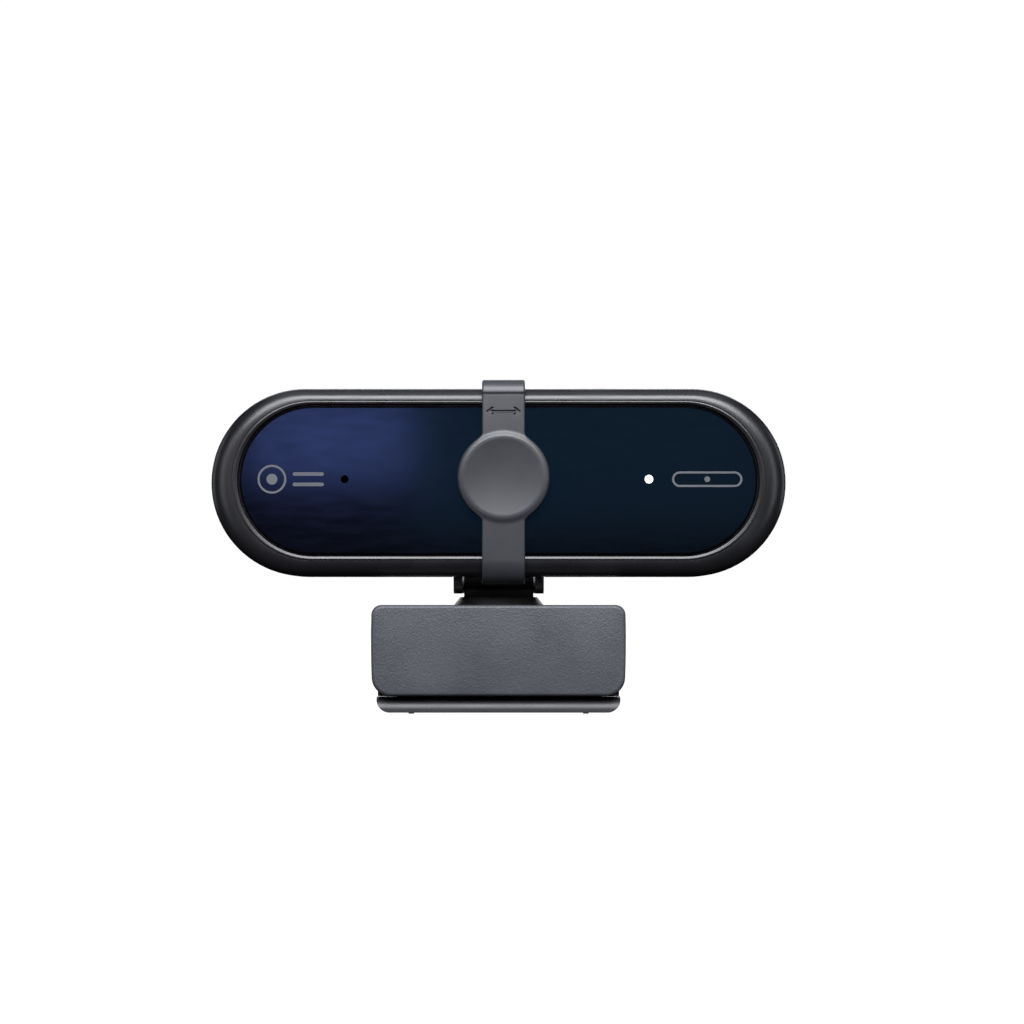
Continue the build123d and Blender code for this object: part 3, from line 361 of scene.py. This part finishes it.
bezel_rings = np.concatenate([
    face_rings,
    hole_ring(face_rings[-1:], 0, LENS_Z, LENS_WINDOW_R, plate_y),
    hole_ring(cavity[:1], 0, LENS_Z, LENS_WINDOW_R, plate_y + PLATE_T),
    cavity,
])
bezel = make_piece(
    "front_bezel_ring", bezel_rings, ring_faces(numbered(bezel_rings), closed=True), satin_black, "head",
    ["front_bezel"], sharp=40,
)
mic_lo, mic_hi = box_mm("mic_boot")
lamp_lo, lamp_hi = box_mm("led_light_pipe")
MIC_X = (mic_lo[0] + mic_hi[0]) / 2
LAMP_X = (lamp_lo[0] + lamp_hi[0]) / 2
PORT_Z = (mic_lo[2] + mic_hi[2]) / 2
through = (plate_y - CUT_PAST, plate_y + PLATE_T + CUT_PAST)
drill(bezel, [
    (MIC_X, PORT_Z, (mic_hi[0] - mic_lo[0]) / 2, *through),
    (LAMP_X, PORT_Z, (lamp_hi[0] - lamp_lo[0]) / 2, *through),
])
for side in (-1, 1):
    drill(bezel, [(side * SCREW_X, HEAD_Z + s * SCREW_RISE, SCREW_HOLE_R, *through) for s in (-1, 1)])

# ------------------------------------------------------------------ front glass
# Pill-shaped acrylic window, hard coated and printed black from behind but for a clear round over the
# lens and a small one over the lamp, with ground edges. Stuck to the bezel's plate with a ring of tape.

GLASS_EDGE = 0.35
GLASS_NICK = 0.12
BLUE_COATING = (0.16, 0.5, 1.0, 1)
CLEAR_R = 6.2
MIC_R = 0.7
LAMP_R = 0.74


def glass_black(name):
    """Hard-coated acrylic with black ink behind it: a near-mirror skin with a blue-black coating, a slow
    ripple of 24 mm as bump, and dust and wiping marks as small shifts of roughness."""
    material, tree, shader = new_material(name)
    place = object_place(tree)
    wiped = add(tree, "Mapping", Vector=place, Rotation=(0, 0.5, 0), Scale=(1, 1, 5)).outputs["Vector"]
    ripple = noise(tree, place, 42.0, Detail=1.0)
    smear = noise(tree, wiped, 160.0, Detail=5.0)
    ink = ramp(tree, smear, (0.35, (0.0012, 0.0012, 0.0018, 1)), (0.7, (0.0018, 0.002, 0.003, 1)))
    tree.links.new(ink, shader.inputs["Base Color"])
    tree.links.new(spread(tree, smear, (0.3, 0.75), (0.08, 0.12)), shader.inputs["Roughness"])
    bump = add(tree, "Bump", Strength=1.0, Distance=0.0009 * MM, Height=ripple)
    tree.links.new(bump.outputs["Normal"], shader.inputs["Normal"])
    shader.inputs["IOR"].default_value = 1.5
    shader.inputs["Specular Tint"].default_value = BLUE_COATING
    return material


black_glass = glass_black("black_glass")
glass_w, glass_h = glass_hi[0] - glass_lo[0], glass_hi[2] - glass_lo[2]
edge_in = np.array([0, 0, GLASS_NICK, GLASS_EDGE])
edge_y = np.array([glass_hi[1], glass_lo[1] + GLASS_EDGE, glass_lo[1] + GLASS_NICK, glass_lo[1]])
window = pill(glass_w - 2 * edge_in, glass_h - 2 * edge_in, GLASS_Z, edge_y)
glass = make_piece(
    "front_glass_panel", window, ring_faces(numbered(window), caps=True), black_glass, "head",
    ["front_glass"], sharp=8,
)
glass_cut = (glass_lo[1] - CUT_PAST, glass_hi[1] + CUT_PAST)
glass_holes = ((MIC_X, PORT_Z, MIC_R), (LAMP_X, PORT_Z, LAMP_R), (0, LENS_Z, CLEAR_R))
drill(glass, [(*hole, *glass_cut) for hole in glass_holes], sharp=8)


def turned(radii, along, centre, axis, steps=64):
    """Rings of a turned shape: at each distance along the axis, centre + r (cos a, sin a) across it."""
    a = np.linspace(0, 2 * np.pi, steps, endpoint=False)
    rings = np.empty((len(radii), steps, 3))
    first, second = [i for i in range(3) if i != axis]
    rings[..., axis] = np.reshape(along, (-1, 1))
    rings[..., first] = centre[0] + np.outer(radii, np.cos(a))
    rings[..., second] = centre[1] + np.outer(radii, np.sin(a))
    return rings


def clear(name, tint, rough=0.01, ior=1.5):
    """Clear acrylic or optical glass, with faint dust as a shift of roughness."""
    material, tree, shader = new_material(name)
    dust = noise(tree, object_place(tree), 900.0, Detail=6.0)
    tree.links.new(spread(tree, dust, (0.45, 0.8), (rough, rough + 0.12)), shader.inputs["Roughness"])
    body_colour = ramp(tree, dust, (0.4, shade(tint, 1.0)), (0.9, shade(tint, 0.93)))
    tree.links.new(body_colour, shader.inputs["Base Color"])
    shader.inputs["Transmission Weight"].default_value = 1.0
    shader.inputs["IOR"].default_value = ior
    return material


def glow(name, colour, strength):
    """Milky diffuser lit from behind, brightest where the moulding is thin: light times fine noise."""
    material, tree, shader = new_material(name)
    cloud = noise(tree, object_place(tree), 1500.0, Detail=2.0)
    light = ramp(tree, cloud, (0.3, shade(colour, 0.9)), (0.7, shade(colour, 1.0)))
    tree.links.new(light, shader.inputs["Base Color"])
    tree.links.new(light, shader.inputs["Emission Color"])
    shader.inputs["Emission Strength"].default_value = strength
    shader.inputs["Roughness"].default_value = 0.3
    return material


clear_acrylic = clear("clear_window", (0.93, 0.95, 0.97))
clear_acrylic.node_tree.nodes["Principled BSDF"].inputs["Specular Tint"].default_value = BLUE_COATING
white_lamp = glow("white_lamp", (0.88, 0.92, 1.0), 0.85)
GLASS_T = glass_hi[1] - glass_lo[1]
disc_in = np.array([0.05, 0, 0, 0.05])
disc_y = np.array([0, 0.04, GLASS_T - 0.04, GLASS_T])
for name, x, z, radius, finish, slot in (
    ("lens_window", 0, LENS_Z, CLEAR_R - 0.02, clear_acrylic, "clear_glass"),
    ("lamp_window", LAMP_X, PORT_Z, LAMP_R - 0.01, white_lamp, "white_lamp"),
):
    plug = turned(radius - disc_in, glass_lo[1] + disc_y, (x, z), 1)
    make_piece(name, plug, ring_faces(numbered(plug), caps=True), finish, "head")

# Marks printed in grey on the window: a plain lens sign by the microphone, and the outline of a head by
# the lamp. Screen ink, two hundredths of a millimetre thick.

INK_T = 0.02
INK_LINE = 0.36
SIGN_X = (-39.3, 36.2)
SIGN_Z = 40.7
BAR_X = -33.0
BAR_RISE = 0.9


def ink_band(name, outer, inner):
    """A flat band of ink between two outlines of equal point count, standing on the glass."""
    top, foot = glass_lo[1] - INK_T, glass_lo[1]
    laps = ((outer, foot), (outer, top), (inner, top), (inner, foot))
    rings = np.stack([np.insert(lap, 1, y, axis=1) for lap, y in laps])
    make_piece(name, rings, ring_faces(numbered(rings), closed=True), grey_ink, "head")


def loop(half_w, half_h, x, z, steps=20):
    """Outline of a pill: x = s (half_w - half_h) + half_h cos a, z = half_h sin a, s being the side of
    the middle."""
    right = np.linspace(-np.pi / 2, np.pi / 2, steps)
    a = np.concatenate([right, right + np.pi])
    s = np.repeat([1, -1], steps)
    return np.stack([x + s * (half_w - half_h) + half_h * np.cos(a), z + half_h * np.sin(a)], axis=-1)


grey_ink = moulded("grey_ink", (0.075, 0.08, 0.09), 0.6, 0.06, 0.003)
for name, half_w, half_h, x, z, line in (
    ("sign_lens_ring", 2.5, 2.5, SIGN_X[0], SIGN_Z, INK_LINE),
    ("sign_lens_dot", 0.95, 0.95, SIGN_X[0], SIGN_Z, 0.93),
    ("sign_bar_0", 2.7, 0.3, BAR_X, SIGN_Z - BAR_RISE, 0.28),
    ("sign_bar_1", 2.7, 0.3, BAR_X, SIGN_Z + BAR_RISE, 0.28),
    ("sign_head_outline", 6.1, 1.35, SIGN_X[1], SIGN_Z, INK_LINE),
    ("sign_head_dot", 0.5, 0.5, SIGN_X[1], SIGN_Z, 0.48),
):
    ink_band(name, loop(half_w, half_h, x, z), loop(half_w - line, half_h - line, x, z))

# ------------------------------------------------------------------ camera module and lens
# Circuit board with the image sensor, chips, a header and a microphone in a rubber tube; the black lens
# holder on it; and a screwed-in lens barrel with three glass elements, a spacer and a retaining ring.


def dress(finish, *names):
    """Gives CAD nodes a finish and leaves their meshes as they are."""
    for name in names:
        nodes[name].data.materials.clear()
        nodes[name].data.materials.append(finish)


def board(name):
    """Green solder mask over copper: bricks turned 45 degrees stand for traces under the mask, raised as
    bump."""
    material, tree, shader = new_material(name)
    turn_over = (np.pi / 2, 0, np.pi / 4)
    lie = add(tree, "Mapping", Vector=object_place(tree), Rotation=turn_over).outputs["Vector"]
    bricks = add(
        tree, "TexBrick", Vector=lie, Scale=600.0, Mortar_Size=0.03,
        Color1=(0, 0, 0, 1), Color2=(0.3, 0.3, 0.3, 1), Mortar=(1, 1, 1, 1),
    ).outputs["Fac"]
    mask = ramp(tree, bricks, (0.0, (0.004, 0.05, 0.02, 1)), (1.0, (0.012, 0.13, 0.045, 1)))
    tree.links.new(mask, shader.inputs["Base Color"])
    bump = add(tree, "Bump", Strength=1.0, Distance=0.02 * MM, Height=bricks)
    tree.links.new(bump.outputs["Normal"], shader.inputs["Normal"])
    shader.inputs["Roughness"].default_value = 0.3
    return material


def metal(name, colour, rough, grain, stretch=(1, 1, 1), depth=0.002):
    """Bare or plated metal: streaked noise as brushing or turning marks in roughness and bump, and slight
    tarnish."""
    material = moulded(name, colour, rough, grain, depth, 0.1, stretch)
    material.node_tree.nodes["Principled BSDF"].inputs["Metallic"].default_value = 1.0
    return material


circuit_board = board("circuit_board")
chip_black = moulded("chip", (0.018, 0.018, 0.02), 0.42, 0.05, 0.004)
lens_black = moulded("lens_plastic", (0.009, 0.009, 0.01), 0.32, 0.12, 0.003)
coated_glass = clear("clear_glass", (0.9, 0.96, 0.99), 0.004, 1.62)
coated_glass.node_tree.nodes["Principled BSDF"].inputs["Coat Weight"].default_value = 0.6
coated_glass.node_tree.nodes["Principled BSDF"].inputs["Coat Tint"].default_value = (0.7, 0.6, 1.0, 1)
sensor_face = metal("sensor_silicon", (0.16, 0.12, 0.2), 0.2, 0.02)
ceramic = moulded("capacitor_ceramic", (0.42, 0.3, 0.18), 0.5, 0.08, 0.003)
header_white = moulded("header_plastic", (0.7, 0.68, 0.62), 0.45, 0.1, 0.004)
tin = metal("pin_steel", (0.62, 0.62, 0.63), 0.3, 0.15, (1, 6, 1))
screw_steel = metal("screw_steel", (0.09, 0.09, 0.095), 0.32, 0.12, (1, 1, 5))
light_pipe = clear("light_pipe", (0.95, 0.97, 1.0), 0.15)
black_rubber = moulded("black_rubber", (0.014, 0.014, 0.014), 0.72, 0.12, 0.006, specular=0.3)
dress(circuit_board, "main_pcb")
dress(chip_black, "isp_chip", "flash_chip")
dress(tin, "crystal", "microphone", "usb_header_pins")
dress(lens_black, "lens_holder", "lens_barrel", "lens_spacer", "lens_retaining_ring")
dress(coated_glass, "lens_front_element", "lens_middle_element", "lens_rear_element", "ir_filter")
dress(sensor_face, "image_sensor")
dress(ceramic, "pcb_capacitors")
dress(header_white, "usb_header")
dress(screw_steel, "shell_screws", "pcb_screws", "yoke_screws")
dress(white_lamp, "status_led")
dress(light_pipe, "led_light_pipe")
dress(black_rubber, "mic_boot", "cable_grommet", "glass_adhesive")

# ------------------------------------------------------------------ clip, leg and neck mouldings
# Matt black ABS mouldings: the clip's bridge and jaw, the folding leg with its cover plate, the bracket in
# the head, and the turret, with their edges broken by a small radius. Steel pins, washers and screws hold
# them, rubber pads and strips line them, and a brass bush for a tripod is pressed into the leg.

BROKEN_EDGE = 0.12


def soften(node, finish, body):
    """Stands in for a CAD node: its mesh merged, flat faces joined, and edges over 35 degrees bevelled."""
    piece = bpy.data.objects.new(node + "_moulding", nodes[node].data.copy())
    bpy.context.scene.collection.objects.link(piece)
    piece.matrix_world = nodes[node].matrix_world
    form = bmesh.new()
    form.from_mesh(piece.data)
    form.transform(piece.matrix_world)
    bmesh.ops.remove_doubles(form, verts=form.verts, dist=1e-6)
    bmesh.ops.dissolve_limit(form, angle_limit=np.radians(0.6), verts=form.verts, edges=form.edges)
    bmesh.ops.recalc_face_normals(form, faces=form.faces)
    form.to_mesh(piece.data)
    form.free()
    piece.matrix_world = piece.matrix_world.Identity(4)
    for layer in [a for a in piece.data.attributes if a.name == "custom_normal"]:
        piece.data.attributes.remove(layer)
    piece.data.materials.clear()
    piece.data.materials.append(finish)
    piece.data.polygons.foreach_set("use_smooth", np.ones(len(piece.data.polygons), bool))
    rounding = piece.modifiers.new("edges", "BEVEL")
    rounding.width, rounding.segments = BROKEN_EDGE * MM, 2
    rounding.limit_method, rounding.angle_limit = "ANGLE", np.radians(35)
    settle(piece, 16)
    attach(piece, body)
    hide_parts(node)


matt_black = moulded("black_plastic", (0.012, 0.012, 0.0135), 0.46, 0.16, 0.007)
# The bracket is the same matt black ABS. Its copy here is lighter and a little smoother, as painted light on
# its cheeks, which sit in the head's shadow.
yoke_black_painted_light = moulded("yoke_plastic_painted_light", (0.022, 0.022, 0.024), 0.4, 0.16, 0.006)
# The turret is the same matt black ABS too. Its copy is darker and less shiny, as painted shade where it
# sits under the head.
neck_black_painted_shade = moulded("neck_plastic_painted_shade", (0.004, 0.004, 0.0045), 0.5, 0.16, 0.006, specular=0.25)
brass = metal("brass", (0.72, 0.5, 0.2), 0.26, 0.1, (1, 1, 8))
dress(tin, "tilt_pin", "leg_hinge_pin", "tilt_washers", "hinge_washers", "swivel_washer")
dress(screw_steel, "swivel_screw", "panel_screws", "leg_cover_screws")
dress(black_rubber, "jaw_pad", "bridge_pad", "leg_pad", "leg_feet")
dress(matt_black, "tilt_yoke", "swivel_turret", "swivel_friction_washer")
dress(matt_black, "clip_bridge", "rear_leg", "leg_cover")
dress(brass, "tripod_insert")

for node, body, finish in (
    ("clip_bridge", "clip", matt_black), ("rear_leg", "leg", matt_black), ("leg_cover", "leg", matt_black),
    ("tilt_yoke", "head", yoke_black_painted_light), ("swivel_turret", "turret", neck_black_painted_shade),
):
    soften(node, finish, body)

# ------------------------------------------------------------------ privacy cover
# Springy C-shaped strap of dark grey ABS that clips over the head and slides along it, with a dished disc
# that covers the lens, an engraved double arrow, and a small lip at each end that hooks in behind the
# bezel.

cover_lo, cover_hi = box_mm("privacy_cover")
COVER_X = 0.87
STRAP_HALF = 3.73
STRAP_T = 1.2
STRAP_Y = -14.2
TOP_ROUND = 2.5
FOOT_ROUND = 4.5
STRAP_BOW = 0.4
STRAP_EDGE = 0.35
INNER_EDGE = 0.25
NECK_FILLET = 1.2
DISC_R = 8.0
DISC_RISE = STRAP_Y - cover_lo[1]
DISH_R = 6.7
DISH_D = 0.55
FACE_T = 1.35
ARROW_Z = 52.4
ARROW_HALF = 2.7
ARROW_DEPTH = 0.4
BARB_BACK = 0.75
BARB_RISE = 0.55
CREASE_Z = 55.4
CREASE_DEPTH = 0.2
LIP_Y = (-7.25, -6.65)
LIP_H = 0.6


def smooth_step(low, high, value):
    """0 below low, 1 above high, and 3 t^2 - 2 t^3 between."""
    t = np.clip((value - low) / (high - low), 0, 1)
    return t * t * (3 - 2 * t)


def near_line(x, z, ax, az, bx, bz):
    """Distance of points from the line from a to b."""
    length = (bx - ax) ** 2 + (bz - az) ** 2
    t = np.clip(((x - ax) * (bx - ax) + (z - az) * (bz - az)) / length, 0, 1)
    return np.hypot(x - ax - t * (bx - ax), z - az - t * (bz - az))


front_z = np.unique(np.concatenate([
    np.linspace(cover_lo[2] + FOOT_ROUND, LENS_Z - DISC_R - 0.8, 16),
    np.linspace(LENS_Z - DISC_R - 0.8, LENS_Z + DISC_R + 0.8, 79),
    np.linspace(LENS_Z + DISC_R + 0.8, ARROW_Z - 1.0, 6),
    np.linspace(ARROW_Z - 1.0, ARROW_Z + 1.0, 41),
    np.linspace(ARROW_Z + 1.0, CREASE_Z - 0.35, 8),
    np.linspace(CREASE_Z - 0.35, cover_hi[2] - TOP_ROUND, 10),
]))
bend = np.linspace(0, np.pi / 2, 18)[1:-1]
lip_steps = np.linspace(LIP_Y[0] - 0.15, LIP_Y[1] + 0.15, 10)
foot_y = np.unique(np.concatenate([np.linspace(cover_hi[1], STRAP_Y + FOOT_ROUND, 20), lip_steps]))[::-1]
top_y = np.unique(np.concatenate([np.linspace(cover_hi[1], STRAP_Y + TOP_ROUND, 24), lip_steps]))
below = cover_lo[2] + FOOT_ROUND
above = cover_hi[2] - TOP_ROUND
path_y = np.concatenate([
    foot_y, STRAP_Y + FOOT_ROUND * (1 - np.sin(bend)), 0 * front_z + STRAP_Y,
    STRAP_Y + TOP_ROUND * (1 - np.cos(bend)), top_y,
])
path_z = np.concatenate([
    0 * foot_y + cover_lo[2], below - FOOT_ROUND * np.cos(bend), front_z,
    above + TOP_ROUND * np.sin(bend), 0 * top_y + cover_hi[2],
])
out_y = np.concatenate([0 * foot_y, -np.sin(bend), 0 * front_z - 1, -np.cos(bend), 0 * top_y])
out_z = np.concatenate([0 * foot_y - 1, -np.cos(bend), 0 * front_z, np.sin(bend), 0 * top_y + 1])
on_front = out_y == -1

# half width: the larger of the strap's and the disc's, with a small fillet where they meet
chord = np.sqrt(np.clip(DISC_R**2 - (path_z - LENS_Z) ** 2, 0, None)) * on_front
blend = np.clip(NECK_FILLET - abs(chord - STRAP_HALF), 0, None)
half = np.maximum(chord, STRAP_HALF) + blend**2 / (4 * NECK_FILLET)

# the outer face bows back by the square of the distance from the middle, and the bends take that up
middle_z, half_span = (above + below) / 2, (above - below) / 2
bow = STRAP_BOW * np.where(on_front, ((path_z - middle_z) / half_span) ** 2, out_y**2)

# section of the strap, once round: front face, rounded edge, side, back face, and up the other side
across = np.linspace(-1, 1, 67)
edge = np.linspace(0, np.pi / 2, 6)[1:]
hollow = np.linspace(0, np.pi / 2, 4)[1:]
front_x = across[None, :] * (half[:, None] - STRAP_EDGE)
side_x = half[:, None] - STRAP_EDGE * (1 - np.sin(edge))
side_h = -STRAP_EDGE * (1 - np.cos(edge)) - bow[:, None] + 0 * side_x
thick = np.where(on_front, FACE_T, STRAP_T)[:, None]
lip_start = smooth_step(LIP_Y[0] - 0.1, LIP_Y[0] + 0.05, path_y)
lip_end = smooth_step(-LIP_Y[1] - 0.1, -LIP_Y[1] + 0.05, -path_y)
lip = LIP_H * (lip_start * lip_end)[:, None]
back_x = half[:, None] - INNER_EDGE * (1 - np.cos(hollow))
back_h = -thick + INNER_EDGE * (1 - np.sin(hollow)) - lip
section_x = np.concatenate([front_x, side_x, back_x, -back_x[:, ::-1], -side_x[:, ::-1]], axis=1)
front_h = 0 * front_x - bow[:, None]
section_h = np.concatenate([front_h, side_h, back_h, back_h[:, ::-1], side_h[:, ::-1]], axis=1)

# the disc stands proud by a soft step and is dished to a ball's hollow; the arrow and the crease are cut in
z = path_z[:, None] + 0 * section_x
reach = np.hypot(section_x, z - LENS_Z)
outer_side = (section_h > -0.8 * FACE_T) & on_front[:, None]
disc = DISC_RISE * (1 - smooth_step(DISC_R - 0.9, DISC_R + 0.1, reach))
dish = DISH_D * np.clip(1 - (reach / DISH_R) ** 2, 0, None)
arrow = near_line(section_x, z, -ARROW_HALF, ARROW_Z, ARROW_HALF, ARROW_Z)
for side in (-1, 1):
    for rise in (-BARB_RISE, BARB_RISE):
        barb_x = side * (ARROW_HALF - BARB_BACK)
        barb = near_line(section_x, z, side * ARROW_HALF, ARROW_Z, barb_x, ARROW_Z + rise)
        arrow = np.minimum(arrow, barb)
crease = CREASE_DEPTH * (1 - smooth_step(0.06, 0.16, abs(z - CREASE_Z)))
cuts = ARROW_DEPTH * (1 - smooth_step(0.13, 0.23, arrow)) + crease
section_h = section_h + outer_side * (disc - dish - cuts)
cover_rings = np.stack([
    COVER_X + section_x,
    path_y[:, None] + out_y[:, None] * section_h,
    path_z[:, None] + out_z[:, None] * section_h,
], axis=-1)
cover_grey = moulded("cover_plastic", (0.028, 0.0295, 0.034), 0.4, 0.12, 0.006)
make_piece(
    "privacy_cover_strap", cover_rings, ring_faces(numbered(cover_rings), caps=True), cover_grey, "cover",
    ["privacy_cover"], sharp=45,
)

# ------------------------------------------------------------------ front panel of the clip
# Grey ABS plate on the clip's jaw, moulded with a coarse spark texture and rounded edges. Two screws from
# behind.

panel_lo, panel_hi = box_mm("front_panel")
FRONT_EDGE = 0.55
BACK_EDGE = 0.12
BOTTOM_DRAW = 0.3
TOP_DRAW = 0.15


def round_corners(corners, radii, steps):
    """A closed outline with its corners rounded: at a corner p the arc is c + (a - c) cos t + (b - c)
    sin t, where a and b are the points r before and after p, and c = a + b - p."""
    p = np.asarray(corners, float)
    r = np.broadcast_to(radii, len(p)).astype(float)[:, None]
    before, after = np.roll(p, 1, axis=0) - p, np.roll(p, -1, axis=0) - p
    a = p + r * before / np.linalg.norm(before, axis=1, keepdims=True)
    b = p + r * after / np.linalg.norm(after, axis=1, keepdims=True)
    c = (a + b - p)[:, None]
    t = np.linspace(0, np.pi / 2, steps)[None, :, None]
    arcs = c + (a[:, None] - c) * np.cos(t) + (b[:, None] - c) * np.sin(t)
    return arcs.reshape(-1, 2)


def stacked(outline, insets, levels):
    """Rings of an upright outline, one for each y level, each drawn in by its inset: a point keeps its
    share of the outline's half size, so it moves in by inset * share along each direction."""
    middle = (outline.min(0) + outline.max(0)) / 2
    half_size = (outline.max(0) - outline.min(0)) / 2
    share = (outline - middle) / half_size
    flat = middle + share[None] * (half_size - np.reshape(insets, (-1, 1, 1)))
    return np.insert(flat, 1, np.reshape(levels, (-1, 1)), axis=2)


grey_texture = moulded("grey_textured_plastic", (0.038, 0.040, 0.047), 0.46, 0.32, 0.06)
panel_mid = (panel_lo[2] + panel_hi[2]) / 2
panel_outline = round_corners(
    [
        (panel_lo[0] + BOTTOM_DRAW, panel_lo[2]), (panel_hi[0] - BOTTOM_DRAW, panel_lo[2]),
        (panel_hi[0], panel_mid),
        (panel_hi[0] - TOP_DRAW, panel_hi[2]), (panel_lo[0] + TOP_DRAW, panel_hi[2]),
        (panel_lo[0], panel_mid),
    ],
    [3.1, 3.1, 4.0, 1.7, 1.7, 4.0], 12,
)
soft = np.linspace(0, np.pi / 2, 7)
panel_in = np.concatenate([[BACK_EDGE, 0], FRONT_EDGE * (1 - np.cos(soft))])
panel_y = np.concatenate([
    [panel_hi[1], panel_hi[1] - BACK_EDGE],
    panel_lo[1] + FRONT_EDGE * (1 - np.sin(soft)),
])
panel_rings = stacked(panel_outline, panel_in, panel_y)
make_piece(
    "front_panel_plate", panel_rings, ring_faces(numbered(panel_rings), caps=True), grey_texture, "clip",
    ["front_panel"],
)

# ------------------------------------------------------------------ studio
# Round room of pale paper. A large soft box stands in front and above, with small ones overhead, at each
# side and behind. Two dim cards beside the camera show in the glass as a violet and a blue-green patch.

LIGHT_MIDDLE = Vector((0.0, 0.0, 0.035))


def light(name, place, size, watts, colour=(1, 1, 1), aim=LIGHT_MIDDLE):
    """A rectangular soft box of size (width, height) that faces a point."""
    lamp = bpy.data.lights.new(name, "AREA")
    lamp.shape, (lamp.size, lamp.size_y) = "RECTANGLE", size
    lamp.energy, lamp.color = watts, colour
    holder = bpy.data.objects.new(name, lamp)
    holder.location = place
    holder.rotation_euler = (Vector(aim) - Vector(place)).to_track_quat("-Z", "Y").to_euler()
    bpy.context.scene.collection.objects.link(holder)


def paper(name, colour, strength):
    """Matt paper that also glows faintly, so that it stays pale from every side."""
    material, tree, shader = new_material(name)
    cloud = noise(tree, object_place(tree), 3.0)
    tone = ramp(tree, cloud, (0.3, shade(colour, 0.98)), (0.7, shade(colour, 1.0)))
    tree.links.new(tone, shader.inputs["Base Color"])
    shader.inputs["Roughness"].default_value = 0.9
    shader.inputs["Specular IOR Level"].default_value = 0.0
    shader.inputs["Emission Color"].default_value = (1.0, 1.0, 1.0, 1)
    shader.inputs["Emission Strength"].default_value = strength
    return material


white_paper = paper("white_paper", (0.12, 0.12, 0.12), 0.99)
room = turned([0.001, 3000.0, 3000.0, 2400.0, 0.001], [-0.4, -0.4, 2200.0, 3000.0, 3200.0], (0, 0), 2, 96)
sweep = make_piece("paper_room", room, ring_faces(numbered(room)), white_paper, "clip")
sweep.parent = None
sweep.visible_glossy = False
sweep.visible_diffuse = False
sweep.visible_transmission = False
SOFT_WHITE = (0.93, 0.95, 1.0)
light("overhead_box", (0.0, -0.1, 0.9), (0.9, 0.7), 1.6, SOFT_WHITE)
light("front_box", (0.0, -1.1, 0.85), (1.3, 0.7), 44.0, SOFT_WHITE)
light("left_box", (-0.85, -0.95, 0.2), (0.3, 0.8), 1.8, SOFT_WHITE)
light("right_box", (0.85, -0.95, 0.2), (0.3, 0.8), 1.9, SOFT_WHITE)
light("left_rim", (-1.0, 0.2, 0.2), (0.4, 0.8), 1.1, SOFT_WHITE)
light("right_rim", (1.0, 0.2, 0.2), (0.4, 0.8), 1.4, SOFT_WHITE)
light("back_box", (0.0, 1.0, 0.7), (1.0, 0.6), 3.5, SOFT_WHITE)
light("rear_box", (0.0, 1.2, 0.25), (1.4, 0.5), 9.0, SOFT_WHITE)
light("left_card", (-0.061, -0.58, 0.0765), (0.056, 0.03), 0.0235, (1.0, 0.5, 0.8), (-0.03, 0.0, 0.045))
light("right_card", (0.033, -0.58, 0.0765), (0.134, 0.067), 0.013, (0.85, 1.0, 1.0), (0.02, 0.0, 0.045))
world = bpy.data.worlds.new("studio")
bpy.context.scene.world = world
world.use_nodes = True
world.node_tree.nodes["Background"].inputs["Color"].default_value = (0.012, 0.0125, 0.014, 1)
bpy.context.scene.view_settings.view_transform = "Standard"

camera = bpy.data.objects.new("camera", bpy.data.cameras.new("camera"))
bpy.context.scene.collection.objects.link(camera)
bpy.context.scene.camera = camera
camera.data.lens = 117.6
camera.data.sensor_width = 36.0
camera.data.clip_start = 0.01
camera.location = (0.00234, -0.592, 0.019)
aim = Vector((0.00234, -0.0125, 0.035))
camera.rotation_euler = (aim - camera.location).to_track_quat("-Z", "Y").to_euler()
